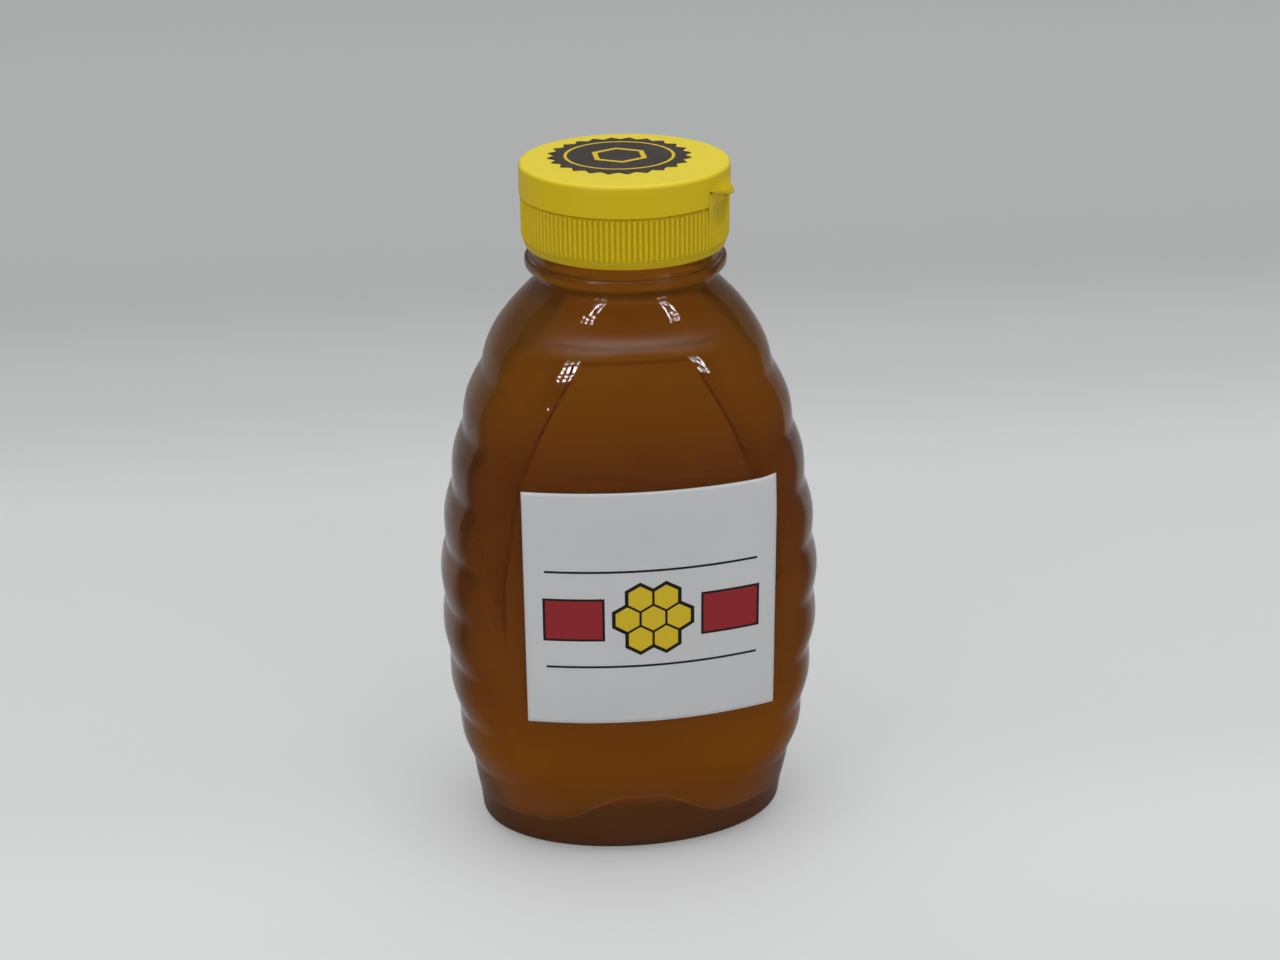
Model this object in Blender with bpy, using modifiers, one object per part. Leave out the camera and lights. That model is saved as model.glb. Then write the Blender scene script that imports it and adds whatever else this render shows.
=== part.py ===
"""Oval squeeze bottle of honey: a grooved body with two plain panels, a threaded neck and a screw closure.

The ribbed closure has a pouring spout and a flip lid on a strap hinge. The bottle carries a square label in
front and the lid a round sticker. Metres, +Z up, origin at the centre of the foot, label facing -Y.
"""

import math

import bmesh
import bpy
import numpy as np
from mathutils import Matrix

# Space between touching pieces, how far a cutter runs past the face that it leaves, and points that are one
GAP = 0.0003
OVERRUN = 0.002
WELD_DISTANCE = 0.000001

# Bottle body
BODY_HEIGHT = 0.1212
BODY_HALF_WIDTH = 0.0395
BODY_HALF_DEPTH = 0.0293
BODY_SQUARENESS_SHARE = 0.4
WALL = 0.0007
HEEL_RADIUS = 0.003
FOOT_RING_WIDTH = 0.0022
PUSH_UP_SLOPE_WIDTH = 0.003
PUSH_UP_HEIGHT = 0.0042

# Plain panels at the front and the back
PANEL_HALF_DEPTH = 0.0265
PANEL_RADIUS = 0.079

# Level grooves round the body
SHOULDER_HEIGHT = 0.0177
FOOT_BAND_HEIGHT = 0.014
GROOVE_PITCH = 0.0125
GROOVE_DEPTH = 0.0009
GROOVE_FADE_SHARE = 0.67
GROOVE_FADE_POWER = 3

# Threaded neck finish
FINISH_HEIGHT = 0.0148
NECK_RADIUS = 0.01755
NECK_WALL = 0.00165
NECK_ROOT_FILLET = 0.00055
BEAD_CENTRE_HEIGHT = 0.0038
BEAD_THICKNESS = 0.0026
BEAD_REACH = 0.0025
THREAD_PITCH = 0.004233
THREAD_HEIGHT = 0.0012
THREAD_START_DROP = 0.0024
THREAD_TURNS = 1.1

# Air between the honey and the lip
HEADSPACE = 0.005

# Seal liner in the closure
LINER_THICKNESS = 0.0008
LINER_OVERHANG = 0.0003
LINER_HOLE_RADIUS = 0.0045

# Screw closure
DECK_THICKNESS = 0.0012
SKIRT_CLEARANCE = 0.0023
SKIRT_WALL = 0.0009
THREAD_CLEARANCE = 0.0004
CLOSURE_THREAD_HEIGHT = 0.0008
SEAT_DEPTH = 0.0007
RIB_COUNT = 120
RIB_DEPTH = 0.00035
PLAIN_BAND_HEIGHT = 0.0016
PLAIN_BAND_REACH = 0.00028
ORIFICE_RADIUS = 0.003175
SPOUT_HEIGHT = 0.0032
SPOUT_TIP_WALL = 0.0014
SPOUT_ROOT_WALL = 0.0028

# Flip lid
LID_HEIGHT = 0.0061
LID_OVERHANG = 0.0003
LID_WALL = 0.0011
LID_TOP_THICKNESS = 0.0012
LID_EDGE_RADIUS = 0.0008
PLUG_DEPTH = 0.0015

# Thumb lip and the scoop below it, opposite the hinge
THUMB_TURN_DEG = -32.5
THUMB_WIDTH = 0.0094
THUMB_LIP_REACH = 0.0012
THUMB_LIP_HEIGHT = 0.0026
THUMB_LIP_EDGE_SHARE = 0.2
THUMB_NOTCH_HEIGHT = 0.0025
TONGUE_THICKNESS = 0.001
SCOOP_RADIUS = 0.018
SCOOP_DEPTH = 0.0011

# Strap hinge
HINGE_WIDTH = 0.009
HINGE_THICKNESS = 0.0005
HINGE_HEIGHT = 0.0024

# Front label
LABEL_WIDTH = 0.0508
LABEL_HEIGHT = 0.0508
LABEL_THICKNESS = 0.0002
LABEL_MIDDLE_HEIGHT = 0.0604
LABEL_SHIFT = 0.0017

# Lid sticker
STICKER_RADIUS = 0.0142
STICKER_POINT_HEIGHT = 0.0015
STICKER_POINTS = 24
STICKER_THICKNESS = 0.0002
STICKER_SHIFT_X = -0.0007
STICKER_SHIFT_Y = 0.0024

# Facet counts, and where round edges have their points
BODY_COLUMNS = 36
LOW_ROWS = 3
ROWS_PER_GROOVE = 3
SHOULDER_ROWS = 6
HEEL_TURNS_DEG = (30, 60)
BEAD_TURNS_DEG = (70, 35, 0, -35, -70)
TURNED_STEPS = 60
THREAD_POINTS_PER_TURN = 24
SCOOP_STEPS = 48
HINGE_ARC_POINTS = 7
LABEL_COLUMNS = 29
LABEL_ROWS = 13

# The hollow foot from its middle outwards: reach over its flat, and height
PUSH_UP_SHARES = ((0.5, 0.97), (1.0, 0.8))

# Thickness of a thread at its first points from either end
THREAD_END_SHARES = (0.4, 0.6, 0.8)

# Body outline from foot to neck root: height, half width, half depth, panel depth and squareness
BODY_SHARES = (
    (0.00, 0.820, 0.695, 0.830, 0.0),
    (0.06, 0.838, 0.775, 0.865, 0.3),
    (0.13, 0.888, 0.865, 0.925, 0.7),
    (0.205, 0.935, 0.930, 0.970, 1.0),
    (0.31, 0.977, 0.985, 1.000, 1.0),
    (0.42, 1.000, 1.000, 1.000, 1.0),
    (0.51, 0.994, 1.000, 1.000, 1.0),
    (0.60, 0.964, 0.990, 1.000, 1.0),
    (0.69, 0.914, 0.957, 1.000, 1.0),
    (0.77, 0.857, 0.912, 0.976, 1.0),
    (0.85, 0.770, 0.858, 0.922, 0.9),
    (0.905, 0.695, 0.820, 0.888, 0.7),
    (0.925, 0.658, 0.788, 0.860, 0.6),
    (0.945, 0.617, 0.724, 0.790, 0.45),
    (0.97, 0.552, 0.665, 0.730, 0.3),
)

# Heights worked out from the sizes above
TOP_GROOVE_HEIGHT = BODY_HEIGHT - SHOULDER_HEIGHT
GROOVE_GAPS = max(0, math.floor((TOP_GROOVE_HEIGHT - FOOT_BAND_HEIGHT) / GROOVE_PITCH))
LOW_GROOVE_HEIGHT = TOP_GROOVE_HEIGHT - GROOVE_GAPS * GROOVE_PITCH
LIP_HEIGHT = BODY_HEIGHT + FINISH_HEIGHT
FILL_HEIGHT = LIP_HEIGHT - HEADSPACE
BEAD_TOP = BODY_HEIGHT + BEAD_CENTRE_HEIGHT + BEAD_THICKNESS / 2
LINER_BOTTOM = LIP_HEIGHT + GAP
LINER_TOP = LINER_BOTTOM + LINER_THICKNESS
DECK_UNDERSIDE = LINER_TOP + GAP
DECK_TOP = DECK_UNDERSIDE + DECK_THICKNESS
SKIRT_BOTTOM = BEAD_TOP + SKIRT_CLEARANCE
LID_BOTTOM = DECK_TOP + GAP
LID_UNDERSIDE = LID_BOTTOM + LID_HEIGHT - LID_TOP_THICKNESS
LID_TOP = LID_BOTTOM + LID_HEIGHT
HINGE_AXIS_HEIGHT = DECK_TOP + GAP / 2

# Radii worked out from the sizes above
NECK_BORE_RADIUS = NECK_RADIUS - NECK_WALL
NECK_ROOT_RADIUS = NECK_RADIUS + NECK_ROOT_FILLET
LINER_RADIUS = NECK_RADIUS + LINER_OVERHANG
SEAT_RADIUS = LINER_RADIUS + GAP
SKIRT_BORE_RADIUS = NECK_RADIUS + THREAD_HEIGHT + THREAD_CLEARANCE
SKIRT_RADIUS = SKIRT_BORE_RADIUS + SKIRT_WALL
RIB_CREST_RADIUS = SKIRT_RADIUS + RIB_DEPTH
LID_RADIUS = RIB_CREST_RADIUS + LID_OVERHANG
LID_BORE_RADIUS = LID_RADIUS - LID_WALL
PLUG_RADIUS = ORIFICE_RADIUS - GAP
THUMB_TURN = math.radians(THUMB_TURN_DEG)
HINGE_TURN = THUMB_TURN + math.pi


def clear_scene():
    for old in list(bpy.data.objects):
        bpy.data.objects.remove(old, do_unlink=True)


def new_collection(name, rendered=True):
    collection = bpy.data.collections.new(name)
    bpy.context.scene.collection.children.link(collection)
    collection.hide_render = not rendered
    return collection


def new_material(name, color, roughness, transmission=0.0, ior=1.5):
    material = bpy.data.materials.new(name)
    material.use_nodes = True
    shader = material.node_tree.nodes["Principled BSDF"]
    shader.inputs["Base Color"].default_value = (*color, 1.0)
    shader.inputs["Roughness"].default_value = roughness
    shader.inputs["Metallic"].default_value = 0.0
    shader.inputs["Transmission Weight"].default_value = transmission
    shader.inputs["IOR"].default_value = ior
    material.diffuse_color = (*color, 1.0)
    return material


def new_object(name, data, collection, material=None):
    piece = bpy.data.objects.new(name, data)
    collection.objects.link(piece)
    if material:
        data.materials.append(material)
    return piece


def mesh_of(name, points, faces):
    mesh = bpy.data.meshes.new(name)
    mesh.from_pydata([tuple(point) for point in points], [], faces)
    mesh.shade_smooth()
    return mesh


def smooth_curve(heights, values, height):
    """A cubic through the values, whose slope at each of them is that of its neighbours."""
    slopes = np.gradient(values, heights)
    low = np.clip(np.searchsorted(heights, height, side="right") - 1, 0, len(heights) - 2)
    span = heights[low + 1] - heights[low]
    t = (height - heights[low]) / span
    from_low = values[low] * (1 + 2 * t) * (1 - t) ** 2 + slopes[low] * span * t * (1 - t) ** 2
    from_high = values[low + 1] * (3 - 2 * t) * t**2 - slopes[low + 1] * span * (1 - t) * t**2
    return from_low + from_high


def body_section(height):
    """Half width, half depth, panel depth and exponent of the body's oval at this height."""
    shares = np.array(BODY_SHARES)
    heights = np.append(shares[:, 0] * BODY_HEIGHT, BODY_HEIGHT)
    half_width = np.append(shares[:, 1] * BODY_HALF_WIDTH, NECK_ROOT_RADIUS)
    half_depth = np.append(shares[:, 2] * BODY_HALF_DEPTH, NECK_ROOT_RADIUS)
    panel_depth = np.append(shares[:, 3] * PANEL_HALF_DEPTH, NECK_ROOT_RADIUS)
    squareness = np.append(shares[:, 4] * BODY_SQUARENESS_SHARE, 0)
    columns = (half_width, half_depth, panel_depth, squareness)
    width, depth, panel, square = (smooth_curve(heights, column, height) for column in columns)
    return width, depth, panel, 2 + max(0, square)


def groove_inset(height):
    """How far the grooves draw the body in: rounds between them, which run out past the end grooves."""
    turn = (TOP_GROOVE_HEIGHT - height) / GROOVE_PITCH
    if 0 <= turn <= GROOVE_GAPS:
        return GROOVE_DEPTH * (2 * (turn - math.floor(turn)) - 1) ** 2
    past = -turn if turn < 0 else turn - GROOVE_GAPS
    return GROOVE_DEPTH * max(0, 1 - past / GROOVE_FADE_SHARE) ** 2


def oval(half_width, half_depth, exponent):
    """Points round a squared ellipse, level with the foot."""
    turns = np.linspace(0, 2 * math.pi, BODY_COLUMNS, endpoint=False)
    across, along = np.cos(turns), np.sin(turns)
    x = half_width * np.sign(across) * np.abs(across) ** (2 / exponent)
    y = half_depth * np.sign(along) * np.abs(along) ** (2 / exponent)
    return x, y


def round_ring(half_width, half_depth, height):
    """Points round a plain ellipse at this height."""
    x, y = oval(half_width, half_depth, 2)
    return np.stack([x, y, np.full_like(x, height)], axis=-1)


def body_ring(height, inset=0):
    """The body's outline here: an oval with grooves that fade towards its two flatter panels."""
    width, depth, panel, exponent = body_section(height)
    turns = np.linspace(0, 2 * math.pi, BODY_COLUMNS, endpoint=False)
    drawn_in = inset + groove_inset(height) * np.abs(np.cos(turns)) ** GROOVE_FADE_POWER
    x, y = oval(width - drawn_in, depth - drawn_in, exponent)
    flat = panel - inset - x**2 / (2 * PANEL_RADIUS)
    y = np.sign(y) * np.minimum(np.abs(y), flat)
    return np.stack([x, y, np.full_like(x, height)], axis=-1)


def foot_rings():
    """Rings from the middle of the hollow foot out to the heel."""
    width, depth, _, _ = body_section(0)
    ring_width, ring_depth = width - HEEL_RADIUS, depth - HEEL_RADIUS
    slope_top = FOOT_RING_WIDTH + PUSH_UP_SLOPE_WIDTH
    steps = []
    for reach, rise in PUSH_UP_SHARES:
        half_width, half_depth = (ring_width - slope_top) * reach, (ring_depth - slope_top) * reach
        steps.append((half_width, half_depth, PUSH_UP_HEIGHT * rise))
    steps.append((ring_width - FOOT_RING_WIDTH, ring_depth - FOOT_RING_WIDTH, 0))
    steps.append((ring_width, ring_depth, 0))
    return [round_ring(half_width, half_depth, height) for half_width, half_depth, height in steps]


def heel_rings():
    rings = []
    for turn_deg in HEEL_TURNS_DEG:
        turn = math.radians(turn_deg)
        inset = HEEL_RADIUS * (1 - math.sin(turn))
        rings.append(body_ring(HEEL_RADIUS * (1 - math.cos(turn)), inset))
    return rings


def body_heights():
    low = np.linspace(HEEL_RADIUS, LOW_GROOVE_HEIGHT, LOW_ROWS + 1)[:-1]
    grooved = np.linspace(LOW_GROOVE_HEIGHT, TOP_GROOVE_HEIGHT, GROOVE_GAPS * ROWS_PER_GROOVE + 1)
    shoulder = np.linspace(TOP_GROOVE_HEIGHT, BODY_HEIGHT, SHOULDER_ROWS + 1)[1:]
    return np.concatenate([low, grooved, shoulder])


def body_rings():
    """Every ring of the bottle's outer surface, from the foot's middle to the neck root."""
    rings = foot_rings() + heel_rings() + [body_ring(height) for height in body_heights()]
    return np.array(rings)


def outward_normals(rings):
    """Unit normals of a grid of rings, from the directions along and across it."""
    across = np.roll(rings, -1, axis=1) - np.roll(rings, 1, axis=1)
    along = np.gradient(rings, axis=0)
    normals = np.cross(across, along)
    return normals / np.linalg.norm(normals, axis=-1, keepdims=True)


def ring_faces(ring_count, columns, first):
    """Quads between neighbouring rings, whose points start at this index."""
    faces = []
    for ring in range(ring_count - 1):
        for column in range(columns):
            here = first + ring * columns + column
            beside = first + ring * columns + (column + 1) % columns
            faces.append((here, beside, beside + columns, here + columns))
    return faces


def fan_faces(middle, first, columns, upward):
    """Triangles from a middle point to the ring that starts at this index."""
    faces = []
    for column in range(columns):
        here, beside = first + column, first + (column + 1) % columns
        faces.append((middle, here, beside) if upward else (middle, beside, here))
    return faces


def turned_piece(name, profile, collection, material=None, steps=TURNED_STEPS):
    """A profile of (radius, height) points turned round Z, closed unless both its ends lie on the axis."""
    points = [(radius, 0, height) for radius, height in profile]
    edges = [(i, i + 1) for i in range(len(points) - 1)]
    if profile[0][0] > 0:
        edges.append((len(points) - 1, 0))
    mesh = bpy.data.meshes.new(name)
    mesh.from_pydata(points, edges, [])
    piece = new_object(name, mesh, collection, material)
    screw = piece.modifiers.new("turn", "SCREW")
    screw.steps = steps
    screw.render_steps = steps
    screw.use_merge_vertices = True
    screw.merge_threshold = WELD_DISTANCE
    return piece


def mesh_piece_from(curve_piece, collection):
    """The curve as a mesh object with its caps welded on."""
    graph = bpy.context.evaluated_depsgraph_get()
    mesh = bpy.data.meshes.new_from_object(curve_piece.evaluated_get(graph))
    name, place = curve_piece.name, curve_piece.matrix_world.copy()
    bpy.data.objects.remove(curve_piece, do_unlink=True)
    welded = bmesh.new()
    welded.from_mesh(mesh)
    bmesh.ops.remove_doubles(welded, verts=welded.verts, dist=WELD_DISTANCE)
    bmesh.ops.recalc_face_normals(welded, faces=welded.faces)
    welded.to_mesh(mesh)
    welded.free()
    piece = new_object(name, mesh, collection)
    piece.matrix_world = place
    return piece


def helix_piece(name, radius, bead, low, start_turn, turns, collection):
    """A round-backed thread: a tube along a helix, thinned at both ends, whose height at no turn is low."""
    count = math.ceil(turns * THREAD_POINTS_PER_TURN)
    curve = bpy.data.curves.new(name, "CURVE")
    curve.dimensions = "3D"
    curve.bevel_depth = bead
    curve.bevel_resolution = 2
    curve.use_fill_caps = True
    spline = curve.splines.new("POLY")
    spline.points.add(count)
    for i, point in enumerate(spline.points):
        turn = start_turn + turns * i / count
        angle = 2 * math.pi * turn
        point.co = (radius * math.cos(angle), radius * math.sin(angle), low + THREAD_PITCH * turn, 1)
        from_end = min(i, count - i)
        point.radius = THREAD_END_SHARES[from_end] if from_end < len(THREAD_END_SHARES) else 1
    piece = new_object(name, curve, collection)
    bpy.context.view_layer.update()
    return mesh_piece_from(piece, collection)


def outline_piece(name, outlines, thickness, collection, material=None):
    """A flat outline, with holes where outlines lie inside it, thickened about its own plane."""
    curve = bpy.data.curves.new(name, "CURVE")
    curve.dimensions = "2D"
    curve.fill_mode = "BOTH"
    curve.extrude = thickness / 2
    for outline in outlines:
        spline = curve.splines.new("POLY")
        spline.points.add(len(outline) - 1)
        for point, (x, y) in zip(spline.points, outline):
            point.co = (x, y, 0, 1)
        spline.use_cyclic_u = True
    return new_object(name, curve, collection, material)


def ring_outline(radius, count=TURNED_STEPS, inner_radius=None):
    """Points round a circle, every other one at the inner radius where one is given."""
    points = []
    for i in range(count):
        angle = 2 * math.pi * i / count
        reach = inner_radius if inner_radius and i % 2 else radius
        points.append((reach * math.cos(angle), reach * math.sin(angle)))
    return points


def use_boolean(piece, other, operation):
    boolean = piece.modifiers.new(f"{operation.lower()} {other.name}", "BOOLEAN")
    boolean.operation = operation
    boolean.object = other
    boolean.solver = "EXACT"
    other.hide_render = True
    other.display_type = "WIRE"


def standing_matrix(turn, height):
    """Turns a flat outline's x outwards in this direction, its y up, and its thickness along the tangent."""
    stood = Matrix.Rotation(math.pi / 2, 4, "X")
    return Matrix.Translation((0, 0, height)) @ Matrix.Rotation(turn, 4, "Z") @ stood


def make_bottle(parts, cutters, plastic):
    neck_radius = NECK_RADIUS - WALL / 2
    neck_heights = (BODY_HEIGHT + 2 * NECK_ROOT_FILLET, BODY_HEIGHT + BEAD_CENTRE_HEIGHT)
    neck = [round_ring(neck_radius, neck_radius, height) for height in neck_heights]
    rings = np.concatenate([body_rings(), neck])
    points = np.concatenate([[(0, 0, PUSH_UP_HEIGHT)], rings.reshape(-1, 3)])
    faces = fan_faces(0, 1, BODY_COLUMNS, upward=False) + ring_faces(len(rings), BODY_COLUMNS, 1)
    bottle = new_object("bottle", mesh_of("bottle", points, faces), parts, plastic)
    shell = bottle.modifiers.new("wall", "SOLIDIFY")
    shell.thickness = WALL
    shell.offset = -1
    use_boolean(bottle, make_neck_finish(cutters), "UNION")
    thread_low = LIP_HEIGHT - THREAD_START_DROP - THREAD_TURNS * THREAD_PITCH
    thread = helix_piece("neck_thread", NECK_RADIUS, THREAD_HEIGHT, thread_low, 0, THREAD_TURNS, cutters)
    use_boolean(bottle, thread, "UNION")
    return bottle


def make_neck_finish(cutters):
    """The thick ring of the neck, with the round bead below the closure."""
    bead_middle = BODY_HEIGHT + BEAD_CENTRE_HEIGHT
    ledge = BODY_HEIGHT + 3 * NECK_ROOT_FILLET
    bead = []
    for turn_deg in BEAD_TURNS_DEG:
        swing = math.radians(turn_deg)
        reach = NECK_RADIUS + BEAD_REACH - BEAD_THICKNESS / 2 * (1 - math.cos(swing))
        bead.append((reach, bead_middle + BEAD_THICKNESS / 2 * math.sin(swing)))
    profile = [
        (NECK_BORE_RADIUS, LIP_HEIGHT),
        (NECK_RADIUS, LIP_HEIGHT),
        (NECK_RADIUS, bead_middle + BEAD_THICKNESS / 2),
        *bead,
        (NECK_RADIUS, bead_middle - BEAD_THICKNESS / 2),
        (NECK_RADIUS, ledge),
        (NECK_RADIUS - WALL, ledge),
        (NECK_BORE_RADIUS, bead_middle - BEAD_THICKNESS / 2),
    ]
    return turned_piece("neck_finish", profile, cutters)


def make_honey(parts, honey_material):
    """What fills the bottle: its outer rings moved in by the wall and a gap, then the bore to a level top."""
    rings = body_rings()
    inside = rings - outward_normals(rings) * (WALL + GAP)
    neck_radius = NECK_BORE_RADIUS - GAP
    neck_heights = (BODY_HEIGHT + 2 * NECK_ROOT_FILLET, FILL_HEIGHT)
    neck = [round_ring(neck_radius, neck_radius, height) for height in neck_heights]
    inside = np.concatenate([inside, neck])
    low, high = (0, 0, PUSH_UP_HEIGHT + WALL + GAP), (0, 0, FILL_HEIGHT)
    points = np.concatenate([[low, high], inside.reshape(-1, 3)])
    last = 2 + (len(inside) - 1) * BODY_COLUMNS
    faces = fan_faces(0, 2, BODY_COLUMNS, upward=False) + ring_faces(len(inside), BODY_COLUMNS, 2)
    faces += fan_faces(1, last, BODY_COLUMNS, upward=True)
    return new_object("honey", mesh_of("honey", points, faces), parts, honey_material)


def make_liner(parts, foam):
    profile = [
        (LINER_HOLE_RADIUS, LINER_TOP),
        (LINER_RADIUS, LINER_TOP),
        (LINER_RADIUS, LINER_BOTTOM),
        (LINER_HOLE_RADIUS, LINER_BOTTOM),
    ]
    return turned_piece("seal_liner", profile, parts, foam)


def make_closure_base(parts, cutters, plastic):
    """The screw closure: ribbed skirt, deck with its spout, inner thread, thumb scoop and hinge notch."""
    inner_rib_radius = SKIRT_RADIUS - SKIRT_WALL / 4
    seat_bottom = LIP_HEIGHT - SEAT_DEPTH
    profile = [
        (ORIFICE_RADIUS, DECK_TOP + SPOUT_HEIGHT),
        (ORIFICE_RADIUS + SPOUT_TIP_WALL, DECK_TOP + SPOUT_HEIGHT),
        (ORIFICE_RADIUS + SPOUT_ROOT_WALL, DECK_TOP),
        (inner_rib_radius, DECK_TOP),
        (inner_rib_radius, SKIRT_BOTTOM + PLAIN_BAND_HEIGHT),
        (SKIRT_RADIUS + PLAIN_BAND_REACH, SKIRT_BOTTOM + PLAIN_BAND_HEIGHT),
        (SKIRT_RADIUS + PLAIN_BAND_REACH / 2, SKIRT_BOTTOM),
        (SKIRT_BORE_RADIUS, SKIRT_BOTTOM),
        (SKIRT_BORE_RADIUS, seat_bottom - (SKIRT_BORE_RADIUS - SEAT_RADIUS) / 2),
        (SEAT_RADIUS, seat_bottom),
        (SEAT_RADIUS, DECK_UNDERSIDE),
        (ORIFICE_RADIUS, DECK_UNDERSIDE),
    ]
    base = turned_piece("closure_base", profile, parts, plastic)
    use_boolean(base, make_rib_band(cutters), "UNION")
    use_boolean(base, make_closure_thread(cutters), "UNION")
    use_boolean(base, make_tongue(cutters), "UNION")
    use_boolean(base, make_scoop_cutter(cutters), "DIFFERENCE")
    use_boolean(base, make_hinge_notch(cutters), "DIFFERENCE")
    return base


def make_rib_band(cutters):
    """The vertical grip ribs, as one thick band with a toothed outline."""
    low, high = SKIRT_BOTTOM + PLAIN_BAND_HEIGHT - GAP, DECK_TOP - GAP / 2
    outer = ring_outline(RIB_CREST_RADIUS, 2 * RIB_COUNT, SKIRT_RADIUS)
    inner = ring_outline(SKIRT_RADIUS - SKIRT_WALL / 2)
    band = outline_piece("rib_band", [outer, inner], high - low, cutters)
    band.location.z = (low + high) / 2
    bpy.context.view_layer.update()
    return mesh_piece_from(band, cutters)


def make_closure_thread(cutters):
    """The closure's thread lies half a pitch below the neck's, on the same helix."""
    low = LIP_HEIGHT - THREAD_START_DROP - (THREAD_TURNS + 0.5) * THREAD_PITCH
    first = SKIRT_BOTTOM + CLOSURE_THREAD_HEIGHT + GAP
    last = LIP_HEIGHT - SEAT_DEPTH - CLOSURE_THREAD_HEIGHT
    turns = (last - first) / THREAD_PITCH
    start = (first - low) / THREAD_PITCH
    return helix_piece("closure_thread", SKIRT_BORE_RADIUS, CLOSURE_THREAD_HEIGHT, low, start, turns, cutters)


def make_tongue(cutters):
    """The base's tongue in the lid's thumb notch, from the deck up."""
    outer = LID_RADIUS - SCOOP_DEPTH
    rise = THUMB_NOTCH_HEIGHT
    outline = [
        (outer - TONGUE_THICKNESS, -DECK_THICKNESS / 2),
        (outer, -DECK_THICKNESS / 2),
        (outer, rise),
        (outer - TONGUE_THICKNESS, rise),
    ]
    tongue = outline_piece("thumb_tongue", [outline], THUMB_WIDTH - 2 * GAP, cutters)
    tongue.matrix_world = standing_matrix(THUMB_TURN, DECK_TOP)
    bpy.context.view_layer.update()
    return mesh_piece_from(tongue, cutters)


def make_scoop_cutter(cutters):
    """A wide cylinder along the tangent, which hollows the skirt below the thumb lip."""
    middle = RIB_CREST_RADIUS - SCOOP_DEPTH + SCOOP_RADIUS
    outline = [(middle + x, y) for x, y in ring_outline(SCOOP_RADIUS, SCOOP_STEPS)]
    scoop = outline_piece("thumb_scoop", [outline], THUMB_WIDTH, cutters)
    scoop.matrix_world = standing_matrix(THUMB_TURN, DECK_TOP + SCOOP_DEPTH)
    bpy.context.view_layer.update()
    return mesh_piece_from(scoop, cutters)


def hinge_outline(side_gap, radial_gap):
    """A short band round the hinge side, this much larger than the strap."""
    half_turn = (HINGE_WIDTH / 2 + side_gap) / LID_RADIUS
    outer = LID_RADIUS
    inner = LID_RADIUS - HINGE_THICKNESS - radial_gap
    turns = np.linspace(HINGE_TURN - half_turn, HINGE_TURN + half_turn, HINGE_ARC_POINTS)
    outside = [(outer * math.cos(turn), outer * math.sin(turn)) for turn in turns]
    inside = [(inner * math.cos(turn), inner * math.sin(turn)) for turn in turns[::-1]]
    return outside + inside


def make_hinge_notch(cutters):
    """Room for the strap in the base and the lid, open to the outside."""
    outline = hinge_outline(GAP, GAP)
    reach = (LID_RADIUS + OVERRUN) / LID_RADIUS
    outside = [(x * reach, y * reach) for x, y in outline[:HINGE_ARC_POINTS]]
    outline = outside + outline[HINGE_ARC_POINTS:]
    notch = outline_piece("hinge_notch", [outline], HINGE_HEIGHT + 2 * GAP, cutters)
    notch.location.z = HINGE_AXIS_HEIGHT
    bpy.context.view_layer.update()
    return mesh_piece_from(notch, cutters)


def make_hinge_strap(parts, plastic):
    strap = outline_piece("hinge_strap", [hinge_outline(0, 0)], HINGE_HEIGHT, parts)
    strap.location.z = HINGE_AXIS_HEIGHT
    bpy.context.view_layer.update()
    strap = mesh_piece_from(strap, parts)
    strap.data.materials.append(plastic)
    return strap


def make_lid(parts, cutters, plastic):
    """The flip lid: a shallow cap with the plug that closes the spout, a thumb lip and a notch below it."""
    edge = LID_EDGE_RADIUS
    profile = [
        (0, LID_TOP),
        (LID_RADIUS - edge, LID_TOP),
        (LID_RADIUS - edge * (1 - math.sin(math.pi / 4)), LID_TOP - edge * (1 - math.cos(math.pi / 4))),
        (LID_RADIUS, LID_TOP - edge),
        (LID_RADIUS, LID_BOTTOM),
        (LID_BORE_RADIUS, LID_BOTTOM),
        (LID_BORE_RADIUS, LID_UNDERSIDE),
        (PLUG_RADIUS, LID_UNDERSIDE),
        (PLUG_RADIUS, DECK_TOP + SPOUT_HEIGHT - PLUG_DEPTH / 2),
        (PLUG_RADIUS - GAP, DECK_TOP + SPOUT_HEIGHT - PLUG_DEPTH),
        (0, DECK_TOP + SPOUT_HEIGHT - PLUG_DEPTH),
    ]
    lid = turned_piece("closure_lid", profile, parts, plastic)
    use_boolean(lid, make_thumb_lip(cutters), "UNION")
    use_boolean(lid, make_thumb_notch(cutters), "DIFFERENCE")
    use_boolean(lid, bpy.data.objects["hinge_notch"], "DIFFERENCE")
    return lid


def make_thumb_lip(cutters):
    """A wedge that flares out over the scoop."""
    low = THUMB_NOTCH_HEIGHT
    root = LID_RADIUS - LID_WALL / 2
    outline = [
        (root, low),
        (LID_RADIUS + THUMB_LIP_REACH, low),
        (LID_RADIUS + THUMB_LIP_REACH, low + THUMB_LIP_HEIGHT * THUMB_LIP_EDGE_SHARE),
        (LID_RADIUS - GAP, low + THUMB_LIP_HEIGHT),
        (root, low + THUMB_LIP_HEIGHT),
    ]
    lip = outline_piece("thumb_lip", [outline], THUMB_WIDTH, cutters)
    lip.matrix_world = standing_matrix(THUMB_TURN, LID_BOTTOM)
    bpy.context.view_layer.update()
    return mesh_piece_from(lip, cutters)


def make_thumb_notch(cutters):
    """The opening in the lid's wall where the base's tongue stands."""
    inner = LID_RADIUS - SCOOP_DEPTH - TONGUE_THICKNESS - GAP
    outline = [
        (inner, -OVERRUN),
        (LID_RADIUS + THUMB_LIP_REACH + OVERRUN, -OVERRUN),
        (LID_RADIUS + THUMB_LIP_REACH + OVERRUN, THUMB_NOTCH_HEIGHT),
        (inner, THUMB_NOTCH_HEIGHT),
    ]
    notch = outline_piece("thumb_notch", [outline], THUMB_WIDTH + 2 * GAP, cutters)
    notch.matrix_world = standing_matrix(THUMB_TURN, LID_BOTTOM)
    bpy.context.view_layer.update()
    return mesh_piece_from(notch, cutters)


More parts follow.
